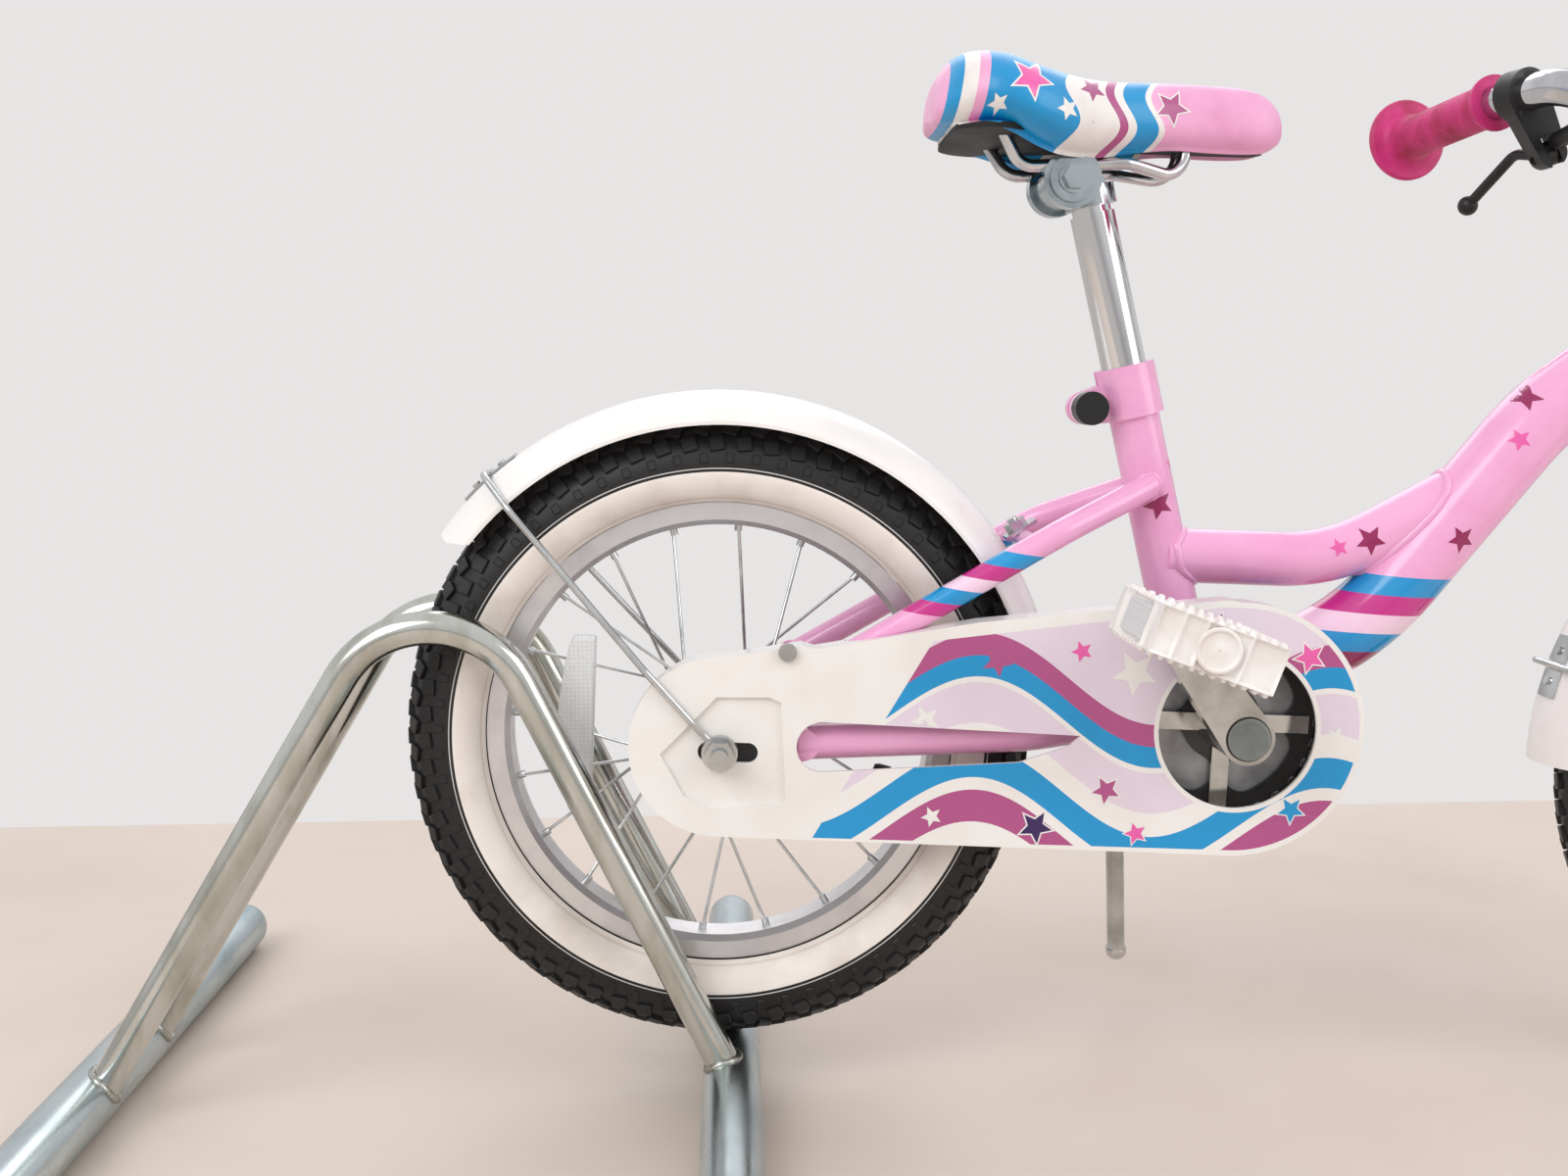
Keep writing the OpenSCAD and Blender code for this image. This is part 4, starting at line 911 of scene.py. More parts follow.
@dataclass
class Stand(SubAssembly):
    """The stand of two floor tubes and two bent hoops, zinc plated after welding.

    Each hoop's legs lean from their feet, which lie a little off the floor tubes' axes, towards
    the apex.
    """

    hoop: float = 19.0
    rail: float = 33.7
    rail_x: tuple[float, float] = (4.0, -361.0)
    foot_shift: tuple[float, float] = (-1.0, 9.0)
    hoop_y: tuple[float, float] = (-44.0, 44.0)
    apex: tuple[float, float] = (-154.0, 345.0)
    foot_z: float = 22.0
    bead: float = 2.3

    def build(self) -> None:
        """Plates the tubes and lays the four weld beads."""
        # Zinc from the bath is bright, with cloudy patches drawn along the tube and dull marks.
        zinc = Finish("bright zinc plated steel tube", "#CCCEC9", "#CFCEC2", 0.17, 0.07, 1.0,
                      grain=2.6, depth=0.01, mottle=22, stretch=(1.0, 1.0, 0.3), specks=0.4,
                      speck_size=3.2, speck_colour="#7C776C")
        # Near the floor the zinc has dulled, so its highlight is wide and bluish.
        rails = Finish("dull zinc plated floor tube", "#C3CDD0", "#C2CCD0", 0.3, 0.09, 1.0,
                       grain=1.8, depth=0.016, mottle=28, stretch=(1.0, 0.3, 1.0), specks=0.4,
                       speck_size=3.6, speck_colour="#858D90")
        self.dress(zinc, "stand_right_hoop", "stand_left_hoop")
        self.dress(rails, "stand_rails", "rail_caps")
        beads = []
        for y in self.hoop_y:
            for x, shift in zip(self.rail_x, self.foot_shift):
                foot = Vector((x + shift, y, self.foot_z)) * MM
                top = Vector((self.apex[0], y, self.apex[1])) * MM
                beads.append(self.weld(
                    "bead", foot, top - foot, self.hoop / 2 * MM,
                    Vector((x, 0, self.rail / 2)) * MM, Vector((0, 1, 0)), self.rail / 2 * MM,
                    self.bead * MM))
        welds = joined(beads, "stand_weld_beads")
        # Scale keeps the plating off a bead, so it is rougher and yellower than the tube.
        paint(welds, self.book.get(Finish(
            "plated weld bead", "#BDBFB8", "#A9A69A", 0.34, 0.1, 1.0, grain=1.2, depth=0.15,
            mottle=5)))
        self.keep(welds, "stand")


@dataclass
class StarFilm:
    """One printed star: where its middle is, its size, its turn and its colour."""

    x: float
    z: float
    size: float
    turn: float
    hue: Hue
    rim: Hue | None = None


@dataclass
class Films(SubAssembly):
    """Printed stars cut from thin film."""

    inner: float = 0.46
    hover: float = 120.0
    rim_size: float = 1.22
    rim_lift: float = 1.9

    def star(self, size: float, turn: float, cuts: int) -> bpy.types.Object:
        """Makes one flat star that faces the bicycle's right side.

        Args:
            size: Radius of its points in millimetres.
            turn: Turn in degrees.
            cuts: Subdivisions that let it follow a curved tube.

        Returns:
            The star about the origin.
        """
        bpy.ops.mesh.primitive_circle_add(vertices=10, radius=size * MM, fill_type="TRIFAN",
                                          rotation=(math.pi / 2, 0, 0))
        obj = new_piece("star")
        place(obj, Matrix.Rotation(math.radians(turn), 4, "Y"))
        select_where(obj, "verts",
                     lambda v: v.index % 2 == 1 and v.co.length > size * MM / 2)
        bpy.ops.transform.resize(value=(self.inner,) * 3, center_override=(0, 0, 0))
        if cuts:
            bpy.ops.mesh.select_all(action="SELECT")
            bpy.ops.mesh.subdivide(number_cuts=cuts)
        bpy.ops.object.mode_set(mode="OBJECT")
        return obj

    def trim(self, flat: bpy.types.Object) -> None:
        """Cuts off what hangs past the edge of the piece that carries the film.

        Args:
            flat: The star after it was pressed on the piece.
        """
        select_where(flat, "verts", lambda v: abs(v.co.y) > (self.hover - 1) * MM)
        bpy.ops.mesh.delete(type="VERT")
        bpy.ops.object.mode_set(mode="OBJECT")

    def wrap(self, name: str, stars: Iterable[StarFilm], target: bpy.types.Object, side: int,
             body: str, lift: float = 0.14, cuts: int = 4) -> bpy.types.Object:
        """Lays stars on one side of a piece.

        Args:
            name: Name of the set.
            stars: The stars.
            target: Piece that carries them.
            side: -1 for the bicycle's right side and 1 for its left.
            body: Body that the set rides on.
            lift: Height over the surface in millimetres.
            cuts: Subdivisions of each star.

        Returns:
            The stars as one piece.
        """
        parts = []
        for film in stars:
            layers = [(film.size, film.hue, lift)]
            if film.rim:
                layers = [(film.size * self.rim_size, film.rim, lift),
                          (film.size, film.hue, lift * self.rim_lift)]
            for size, hue, height in layers:
                flat = self.star(size, film.turn, cuts)
                paint(flat, self.book.film(hue))
                place(flat, self.stance.matrix
                      @ Matrix.Translation(Vector((film.x, side * self.hover, film.z)) * MM))
                wrap = flat.modifiers.new("wrap", "SHRINKWRAP")
                wrap.target = target
                wrap.wrap_method = "PROJECT"
                wrap.use_project_y = True
                wrap.use_positive_direction = side < 0
                wrap.use_negative_direction = side > 0
                wrap.offset = height * MM
                bake_modifiers(flat)
                self.trim(flat)
                parts.append(flat)
        made = joined(parts, name)
        if side > 0:
            made.data.flip_normals()
        return self.keep(made, body)


@dataclass
class Frame(SubAssembly):
    """The welded and enamelled steel frame with its fittings.

    Of each tube the radius is given, of the down tube's runs their length and rise in degrees,
    and of the top tube two points that its joints lie on.
    """

    bracket_r: float = 20.0
    seat_r: float = 14.3
    down_r: float = 22.25
    top_r: float = 15.9
    head_r: float = 18.0
    chainstay_r: float = 10.0
    seatstay_r: float = 7.5
    down_runs: tuple[tuple[float, float], ...] = ((110, 31), (151, 53.3))
    top_back: tuple[float, float] = (352, 112)
    top_front: tuple[float, float] = (438, 162)
    top_seat: float = 90.0
    head_join: float = 228 + 0.615 * 90
    chainstay_start: tuple[float, float, float] = (-4, 23, -2)
    chainstay_rise: float = -0.08
    seatstay_top: tuple[float, float] = (136, 11)
    seatstay_aim: tuple[float, float, float] = (186, 45, 127)
    bead_lift: float = -0.35

    def enamel(self, name: str, high: float, tilt: float,
               *bands: tuple[float, Hue]) -> BandedPaint:
        """Gives the frame's enamel with a film of stripes on a tube.

        Args:
            name: Name of the finish.
            high: Height of the stripes' range in millimetres.
            tilt: How the stripes' height falls along the bicycle.
            bands: Where each stripe begins, with its hue.

        Returns:
            The finish.
        """
        return BandedPaint(name, Hue.PINK.value, "#F7E6F2", 0.24, 0.05, 0.0, 0.55, grain=3.0,
                           depth=0.012, stance=self.stance, span=(0.0, high), tilt=tilt,
                           bands=tuple((at, hue.value) for at, hue in bands))

    def build(self) -> None:
        """Paints the tubes, lays the welds and sticks on the printed films."""
        # Enamel is even and pale, with a sharp highlight of the clear coat over a softer one.
        pink = Finish("pink enamelled steel", Hue.PINK.value, "#F7E6F2", 0.24, 0.05, 0.0, 0.55,
                      grain=3.0, depth=0.012, mottle=60, specks=0.35, speck_size=7.0,
                      speck_colour="#B98AA6")
        self.dress(pink, "bottom_bracket_shell", "seat_tube", "top_tube", "head_tube",
                   "right_chainstay", "left_chainstay", "seat_collar", "kickstand_bracket",
                   "fork")
        down = self.enamel("pink enamel with bands on the down tube", 320.0, 0.03,
                           (0, Hue.PINK), (62, Hue.DARK_MAGENTA), (72, Hue.BLUE),
                           (83, Hue.PALE_PINK), (94, Hue.MAGENTA), (106, Hue.BLUE),
                           (117, Hue.PINK))
        stay = self.enamel("pink enamel with bands on the seat stay", 200.0, 0.12,
                           (0, Hue.PINK), (92, Hue.MAGENTA), (100, Hue.BLUE),
                           (108, Hue.PALE_PINK), (116, Hue.MAGENTA), (125, Hue.BLUE),
                           (133, Hue.PINK))
        self.dress(down, "down_tube")
        self.dress(stay, "right_seatstay", "left_seatstay")
        self.weld_frame(pink)
        self.stick_stars()
        # Moulded polyamide is nearly black and matt.
        bolt = Finish("black polyamide knob", "#151516", "#3A3A3C", 0.38, 0.08, grain=1.0,
                      depth=0.03)
        # Plating on small parts is smooth, so each one shows a lamp as a hard point.
        steel = Finish("zinc plated small fittings", "#CCCFD0", "#C8C9C7", 0.19, 0.04, 1.0,
                       grain=2.4, depth=0.004, mottle=30)
        self.dress(bolt, "collar_bolt")
        self.dress(steel, "frame_screws", "rear_axle", "front_axle", "coaster_arm",
                   "rear_mudguard_stay", "front_mudguard_stay", "kickstand_leg")
        # Chrome over polished steel mirrors the room almost sharply.
        polished = Finish("chromed steel cups", "#D4D5D8", "#B9BBC0", 0.1, 0.04, 1.0, grain=2.0,
                          depth=0.004, mottle=40)
        self.dress(polished, "headset_cups", "bottom_bracket_cups")

    def weld_frame(self, finish: Finish) -> None:
        """Lays the painted fillets at the frame's joints.

        Args:
            finish: The frame's enamel.
        """
        at, seat, steer = self.stance.at, self.stance.seat, self.stance.steer
        turn = self.stance.matrix.to_3x3()
        x, z = self.stance.bracket
        across = Vector((0, 1, 0))
        seat_up = turn @ (seat(1) - seat(0))
        steer_up = turn @ (steer(1) - steer(0))
        seat_0 = at(*seat(0))
        seat_join = at(*seat(self.top_seat / math.cos(math.radians(self.stance.seat_lean))))
        bends = [Vector((x, 0, z))]
        for length, rise in self.down_runs:
            rise = math.radians(rise)
            bends.append(bends[-1] + length * Vector((math.cos(rise), 0, math.sin(rise))))
        down_a, down_b = at(*bends[1]), at(*bends[2])
        back, front = (at(px, 0, pz) for px, pz in (self.top_back, self.top_front))
        join = at(*steer(self.head_join))
        # Each joint: a tube's start, direction and radius, the axis and radius of the tube that
        # it meets, and the bead's radius in millimetres.
        joints = [
            (seat_0, seat_up, self.seat_r, at(x, 0, z), across, self.bracket_r, 2.4),
            (seat_join, back - seat_join, self.top_r, seat_0, seat_up, self.seat_r, 2.6),
            (front, back - front, self.top_r, down_a, down_b - down_a, self.down_r, 2.8),
            (join, down_b - join, self.down_r, at(*steer(0)), steer_up, self.head_r, 2.6)]
        for side, _ in SIDES:
            dx, dy, dz = self.chainstay_start
            joints.append((at(x + dx, side * dy, z + dz),
                           turn @ Vector((-1, 0, self.chainstay_rise)), self.chainstay_r,
                           at(x, 0, z), across, self.bracket_r, 2.0))
            up, out = self.seatstay_top
            top = at(*seat(up, side * out))
            ax, ay, az = self.seatstay_aim
            joints.append((top, at(ax, side * ay, az) - top, self.seatstay_r, seat_0, seat_up,
                           self.seat_r, 1.8))
        beads = [self.weld("bead", start, along, r * MM, centre, axis, wall * MM, bead * MM,
                           bead * self.bead_lift)
                 for start, along, r, centre, axis, wall, bead in joints]
        made = joined(beads, "frame_weld_beads")
        paint(made, self.book.get(finish))
        self.keep(made, "frame")

    def stick_stars(self) -> None:
        """Sticks the printed stars on both sides of the frame's tubes."""
        films = Films(*self.kit)
        sets = {
            "seat_tube": [StarFilm(246, 142, 9.0, 6, Hue.DARK_MAGENTA),
                          StarFilm(254, 166, 4.2, 20, Hue.STAR_PINK)],
            "top_tube": [StarFilm(352, 121, 5.6, 14, Hue.STAR_PINK),
                         StarFilm(370, 126, 9.0, -8, Hue.DARK_MAGENTA)],
            "down_tube": [StarFilm(420, 129, 8.2, 4, Hue.DARK_MAGENTA),
                          StarFilm(454, 212, 8.6, -6, Hue.DARK_MAGENTA),
                          StarFilm(449, 187, 6.6, 10, Hue.STAR_PINK)]}
        for node, stars in sets.items():
            for side, word in SIDES:
                films.wrap(f"{node}_stars_{word}", stars, self.nodes[node], side, "frame")


@dataclass
class Guards(SubAssembly):
    """The moulded chain guard with its print, and both mudguards."""

    # Where the thin black ring that paints the slot's shade sits: across the bicycle, and from its
    # hole to its rim.
    shade_ring_y: tuple[float, float] = (-59.4, -58.6)
    shade_ring_r: tuple[float, float] = (10.1, 23.0)

    def fit_slot_shade_ring(self) -> None:
        """Fits a thin black ring behind the guard's axle slot, which paints the shade seen in the
        slot.
        """
        low, high = self.shade_ring_y
        hole, rim = self.shade_ring_r
        ring = turned("slot_shade_ring", [(hole, low), (rim - 0.5, low), (rim, low + 0.3),
                                      (rim, high), (hole, high)], 48)
        # The ring is matt black and paints the shade in the slot.
        paint(place(ring, self.stance.matrix), self.book.get(Finish(
            "black ring for painted slot shade", "#141415", "#3B3B3D", 0.5, 0.1, grain=0.9, depth=0.02)))
        self.keep(ring, "frame")

    def build(self) -> None:
        """Gives the guards their plastics and sticks the stars on the chain guard."""
        # A printed film on moulded polypropylene has bright flat colours, a soft highlight and
        # road dirt.
        printed = GuardPrint("white polypropylene with printed film", Hue.WHITE.value,
                             "#F6F3F1", 0.24, 0.05, 0.0, 0.25, grain=1.6, depth=0.008,
                             mottle=60, specks=0.25, speck_size=2.2, speck_colour="#A79F9A",
                             stance=self.stance)
        self.dress(printed, "chain_guard")
        # Bare polypropylene is whiter and glossier, with less dirt.
        self.dress(Finish("white polypropylene mudguard", "#F5F3F2", "#F7F4F0", 0.22, 0.05, 0.0,
                          0.3, grain=1.8, depth=0.008, mottle=80, specks=0.16, speck_size=2.4,
                          speck_colour="#A29A95"), "rear_mudguard", "front_mudguard")
        # A thin black ring paints the shade in the axle slot.
        self.fit_slot_shade_ring()
        stars = [StarFilm(112, 22, 8.5, 8, Hue.WHITE), StarFilm(150, 56, 9.0, -10, Hue.MAUVE),
                 StarFilm(196, 63, 6.2, 12, Hue.STAR_PINK),
                 StarFilm(226, 52, 13.0, 4, Hue.WHITE),
                 StarFilm(268, 80, 7.5, -6, Hue.PURPLE, Hue.WHITE),
                 StarFilm(322, 64, 8.6, 10, Hue.STAR_PINK, Hue.WHITE),
                 StarFilm(340, 20, 6.4, -12, Hue.WHITE),
                 StarFilm(214, -14, 8.0, 6, Hue.MAUVE, Hue.WHITE),
                 StarFilm(176, -36, 9.4, -8, Hue.PURPLE, Hue.WHITE),
                 StarFilm(232, -38, 6.4, 16, Hue.STAR_PINK, Hue.WHITE),
                 StarFilm(318, -22, 7.6, 0, Hue.BLUE, Hue.WHITE),
                 StarFilm(118, -32, 6.0, 10, Hue.WHITE)]
        Films(*self.kit).wrap("guard_stars", stars, self.nodes["chain_guard"], RIGHT, "frame",
                              0.08, 0)


@dataclass
class Wheel(SubAssembly):
    """One wheel: a knobbly tyre with a pale sidewall, an alloy rim, spokes and a hub.

    Each row of knobs has their length, width, height and lean, the share of a pitch that they
    are shifted by, and their skew.
    """

    name: str = "rear"
    axle: tuple[float, float, float] = (0.0, 0.0, 0.0)
    middle_r: float = 154.0
    half_w: float = 26.6
    half_h: float = 24.6
    casing: float = 2.5
    band: tuple[float, float] = (137.5, 151.4)
    band_rise: float = 0.35
    arc_steps: int = 44
    arc_step: float = 3.25
    pitches: int = 68
    steps: int = 136
    knob_root: float = 1.6
    knob_taper: float = 0.8
    rows: tuple[tuple[float, ...], ...] = (
        (9.6, 8.6, 2.2, 13, 0.0, 14), (9.6, 8.6, 2.2, -13, 0.5, 14),
        (8.8, 8.0, 2.1, 36, 0.5, -18), (8.8, 8.0, 2.1, -36, 0.0, -18),
        (8.6, 8.4, 1.7, 58, 0.0, 10), (8.6, 8.4, 1.7, -58, 0.5, 10),
        (4.6, 5.6, 0.8, 77, 0.5, 0), (4.6, 5.6, 0.8, -77, 0.0, 0))
    valve: float = -12.6
    valve_foot: float = 122.0

    @property
    def body(self) -> str:
        """Body that the wheel rides on."""
        return f"{self.name}_wheel"

    @property
    def matrix(self) -> Matrix:
        """The wheel's middle in metres."""
        return self.stance.matrix @ Matrix.Translation(Vector(self.axle) * MM)

    def carcass(self) -> bpy.types.Object:
        """Turns the tyre's casing, with a low step round its pale band.

        Returns:
            The casing about its axle.
        """
        outer, inner = [], []
        for k in range(-self.arc_steps, self.arc_steps + 1):
            turn = math.radians(k * self.arc_step)
            radius = self.middle_r + self.half_h * math.cos(turn)
            across = self.half_w * math.sin(turn)
            raised = self.band_rise if self.band[0] < radius < self.band[1] else 0.0
            across += math.copysign(raised, across)
            outer.append((radius, across))
            if k % 4 == 0:
                inner.append((self.middle_r + (self.half_h - self.casing) * math.cos(turn),
                              (self.half_w - self.casing) * math.sin(turn)))
        return turned("casing", outer + inner[::-1], self.steps)

    def knob(self, along: float, across: float, height: float, lean: float, shift: float,
             skew: float) -> bpy.types.Object:
        """Makes one tread knob on the casing.

        Args:
            along: Length round the tyre.
            across: Width across the tyre.
            height: Height over the casing.
            lean: Angle from the crown in degrees.
            shift: Angle round the axle in degrees.
            skew: Turn of the knob on the casing in degrees.

        Returns:
            The knob in place on a tyre about the origin.
        """
        bpy.ops.mesh.primitive_cube_add(size=1)
        obj = new_piece("knob")
        select_where(obj, "faces", lambda face: face.normal.x > 0.9)
        bpy.ops.transform.resize(value=(1, self.knob_taper, self.knob_taper),
                                 center_override=(0.5, 0, 0))
        bpy.ops.object.mode_set(mode="OBJECT")
        place(obj, Matrix.Diagonal(((height + self.knob_root) * MM, across * MM, along * MM,
                                    1)))
        turn = math.radians(lean)
        seat = Vector((self.middle_r + self.half_h * math.cos(turn), self.half_w * math.sin(turn),
                       0)) * MM
        out = Vector((math.cos(turn), math.sin(turn), 0))
        middle = seat + out * ((height - self.knob_root) / 2 * MM)
        place(obj, Matrix.Rotation(-math.radians(shift), 4, "Y") @ Matrix.Translation(middle)
              @ Matrix.Rotation(turn, 4, "Z") @ Matrix.Rotation(math.radians(skew), 4, "X"))
        return obj

    def tread(self) -> bpy.types.Object:
        """Copies one pitch of knobs all round the tyre.

        Returns:
            All knobs as one piece.
        """
        step = 360 / self.pitches
        pitch = joined([self.knob(along, across, height, lean, shift * step, skew)
                        for along, across, height, lean, shift, skew in self.rows], "pitch")
        bevelled(pitch, 0.5)
        copies = [copied(pitch, Matrix.Rotation(math.tau * k / self.pitches, 4, "Y"), "pitch")
                  for k in range(1, self.pitches)]
        return joined([pitch, *copies], "tread")

    def build(self) -> None:
        """Builds the tyre and the valve and gives the wheel its metals."""
        # Vulcanised rubber is matt black that dust turns grey, and its pale band has yellowed.
        rubber = TyreRubber(f"{self.name} tyre rubber", "#121213", "#E3DED8", 0.5, 0.08, 0.0,
                            grain=0.8, depth=0.02, mottle=42, specks=0.22, speck_size=3.0,
                            speck_colour="#8C8378", stance=self.stance, axle=self.axle)
        casing = smooth(self.carcass(), 50)
        tyre = joined([casing, self.tread()], f"{self.name}_tyre_with_tread")
        paint(place(tyre, self.matrix), self.book.get(rubber))
        self.keep(tyre, self.body)
        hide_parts(f"{self.name}_tyre")
        # Satin anodising spreads each highlight into a band along the rim.
        alloy = Finish("satin anodised alloy rim", "#E2E1E3", "#E6E5E7", 0.36, 0.06, 1.0,
                       grain=1.1, depth=0.006, mottle=30)
        # Drawn and plated wire shows one thin bright line.
        wire = Finish("zinc plated spoke wire", "#D6D9DA", "#C8CBCC", 0.2, 0.05, 1.0, grain=0.9,
                      depth=0.004, mottle=14)
        # The hub's colour is painted greyer to stand for the shade inside the wheel, and its
        # plating is a little rougher.
        shell = Finish("plated steel hub shell with painted shade", "#C4C7C8", "#B4B7B9", 0.26, 0.07, 1.0,
                       grain=1.2, depth=0.01, mottle=18)
        self.dress(alloy, f"{self.name}_rim")
        self.dress(wire, f"{self.name}_spokes")
        self.dress(shell, f"{self.name}_hub")
        self.fit_valve()

    def fit_valve(self) -> None:
        """Stands the rubber valve with its cap in the rim."""
        profile = [(0.2, 0), (4.1, 0), (4.1, 3), (3.2, 5), (3.1, 16), (2.6, 17), (2.6, 18.5),
                   (3.3, 19), (3.4, 26), (2.6, 28.5), (0.2, 29)]
        valve = turned(f"{self.name}_valve", profile, 20)
        smooth(valve)
        down = Matrix.Rotation(math.radians(-self.valve), 4, "Y")
        inwards = (Matrix.Translation(Vector((self.valve_foot, 0, 0)) * MM)
                   @ Matrix.Rotation(math.pi / 2, 4, "Z"))
        place(valve, self.matrix @ down @ inwards)
        # Moulded rubber is matt, with dust in its grain.
        paint(valve, self.book.get(Finish("black rubber valve", "#161617", "#48484A", 0.5, 0.08,
                                          grain=0.8, depth=0.02)))
        self.keep(valve, self.body)


@dataclass
class Pedal(SubAssembly):
    """One moulded pedal with toothed edges, ribbed cells and two reflectors.

    Its start is the distance from the bicycle's middle to the wall beside the crank. Ribs are
    placed from the middle of a wall, and a tooth's sizes are its length, width and height.
    """

    name: str = "right"
    side: int = RIGHT
    crank_angle: float = 127.5
    tilt: float = 18.0
    crank: float = 76.0
    start: float = 94.0
    width: float = 80.0
    half_l: float = 33.0
    half_h: float = 12.0
    wall: float = 9.0
    bar: float = 4.6
    ribs: tuple[float, ...] = (-20.5, -9.0, 14.5)
    bar_ribs: tuple[float, ...] = (-22.0, 22.0)
    cell_wall: float = 1.5
    cell_depth: float = 2.2
    tooth: tuple[float, float, float] = (3.6, 7.5, 3.0)
    tooth_top: tuple[float, float, float] = (0.45, 0.8, 1)
    pitch: float = 5.5
    bar_tooth: float = 3.6
    bar_pitch: float = 6.4
    bar_teeth: int = 9
    tooth_inset: float = 0.4
    bar_inset: float = 2.0
    tooth_rise: float = 0.6
    bar_rise: float = 0.4
    lens: tuple[float, float, float] = (2.0, 40.5, 17.5)
    lens_inset: float = 1.1

    @property
    def matrix(self) -> Matrix:
        """The pedal's spindle, with Y away from the bicycle.

        Returns:
            The matrix in metres.
        """
        x, z = self.stance.bracket
        turn = math.radians(self.crank_angle)
        centre = Vector((x + self.crank * math.cos(turn), 0, z + self.crank * math.sin(turn)))
        return (self.stance.matrix @ Matrix.Translation(centre * MM)
                @ Matrix.Rotation(math.radians(self.tilt), 4, "Y")
                @ Matrix.Diagonal((1, self.side, 1, 1)))

    def celled(self, size: Sequence[float], cuts: Sequence[float], axis: int,
               face: Vector) -> bpy.types.Object:
        """Makes a wall whose outer face is sunk into cells between ribs.

        Args:
            size: Length, width and height in millimetres.
            cuts: Where the ribs stand along the axis.
            axis: 0 for ribs spaced along X and 1 for ribs spaced along Y.
            face: Direction of the face with the cells.

        Returns:
            The wall about its middle.
        """
        bpy.ops.mesh.primitive_cube_add(size=1)
        obj = new_piece("wall")
        place(obj, Matrix.Diagonal((*[side * MM for side in size], 1)))
        bpy.ops.object.mode_set(mode="EDIT")
        along = Vector((1, 0, 0)) if axis == 0 else Vector((0, 1, 0))
        for cut in cuts:
            bpy.ops.mesh.select_all(action="SELECT")
            bpy.ops.mesh.bisect(plane_co=along * cut * MM, plane_no=along)
        select_where(obj, "faces", lambda each: each.normal.dot(face) > 0.9)
        bpy.ops.mesh.inset(thickness=self.cell_wall * MM, depth=-self.cell_depth * MM,
                           use_individual=True)
        bpy.ops.object.mode_set(mode="OBJECT")
        return obj

    def teeth(self) -> list[bpy.types.Object]:
        """Models one blunt tooth and copies it along the edges of all four walls.

        Returns:
            The teeth.
        """
        bpy.ops.mesh.primitive_cube_add(size=1)
        tooth = new_piece("tooth")
        select_where(tooth, "faces", lambda each: each.normal.z > 0.9)
        bpy.ops.transform.resize(value=self.tooth_top, center_override=(0, 0, 0.5))
        bpy.ops.object.mode_set(mode="OBJECT")
        length, width, height = self.tooth
        place(tooth, Matrix.Diagonal((length * MM, 1, height * MM, 1)))
        made = []
        count = int(2 * self.half_l // self.pitch)
        for up in (-1, 1):
            flip = Matrix.Diagonal((1, 1, up, 1))
            edge = self.wall / 2 + self.tooth_inset
            for y in (edge, self.width - edge):
                for k in range(count):
                    x = (k - (count - 1) / 2) * self.pitch
                    made.append(copied(tooth, Matrix.Translation(
                        Vector((x, self.start + y, up * (self.half_h + self.tooth_rise))) * MM)
                        @ flip @ Matrix.Diagonal((1, width * MM, 1, 1)), "tooth"))
            for x in (-self.half_l + self.bar_inset, self.half_l - self.bar_inset):
                for k in range(self.bar_teeth):
                    y = self.width / 2 + (k - self.bar_teeth // 2) * self.bar_pitch
                    made.append(copied(tooth, Matrix.Translation(
                        Vector((x, self.start + y, up * (self.half_h + self.bar_rise))) * MM)
                        @ flip
                        @ Matrix.Rotation(math.pi / 2, 4, "Z")
                        @ Matrix.Diagonal((1, self.bar_tooth * MM, 1, 1)), "tooth"))
        bpy.data.objects.remove(tooth)
        return made

    def build(self) -> None:
        """Builds the pedal and its reflectors in place."""
        shift = Matrix.Translation
        out, mid = self.start + self.width - self.wall / 2, self.start + self.width / 2
        plate = (2 * self.half_l, self.wall, 2 * self.half_h)
        bar = (self.bar, self.width - 2 * self.wall + 1, 2 * self.half_h)
        parts = [place(self.celled(plate, self.ribs, 0, Vector((0, 1, 0))),
                       shift(Vector((0, out, 0)) * MM)),
                 place(self.celled(plate, self.ribs, 0, Vector((0, -1, 0))),
                       shift(Vector((0, self.start + self.wall / 2, 0)) * MM))]
        for sign in (-1, 1):
            bar_x = sign * (self.half_l - self.bar / 2)
            parts.append(place(self.celled(bar, self.bar_ribs, 1, Vector((sign, 0, 0))),
                               shift(Vector((bar_x, mid, 0)) * MM)))
        ring = [(8.2, 0), (9.4, 0), (9.4, self.width - 3), (11.2, self.width - 2),
                (11.6, self.width + 0.8), (10.6, self.width + 1.4), (9.4, self.width + 1.2),
                (9.0, self.width + 0.2), (4.0, self.width + 0.9), (0.2, self.width + 1.1),
                (0.2, self.width - 2), (8.2, self.width - 3)]
        barrel = turned("barrel", ring, 32)
        parts.append(place(barrel, shift(Vector((0, self.start, 0)) * MM)))
        parts.extend(self.teeth())
        body = bevelled(joined(parts, f"{self.name}_pedal_cage"), 0.35)
        smooth(place(body, self.matrix))
        # Polypropylene is waxy and soft in its highlights, with dirt worn into its grain.
        paint(body, self.book.get(Finish(
            "white polypropylene pedal", "#F2EFED", "#EDE6E0", 0.34, 0.07, ior=1.49, grain=1.2,
            depth=0.02, mottle=22, specks=0.55, speck_size=2.2, speck_colour="#8F847B",
            coat=0.2)))
        self.keep(body, f"{self.name}_pedal")
        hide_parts(f"{self.name}_pedal")
        lenses = []
        for sign in (-1, 1):
            lens = self.celled(self.lens, (), 1, Vector((sign, 0, 0)))
            lenses.append(place(lens, self.matrix @ shift(Vector(
                (sign * (self.half_l - self.lens_inset), mid, 0)) * MM)))
        made = joined(lenses, f"{self.name}_pedal_reflectors")
        paint(made, self.book.get(ClearLens()))
        self.keep(made, f"{self.name}_pedal")


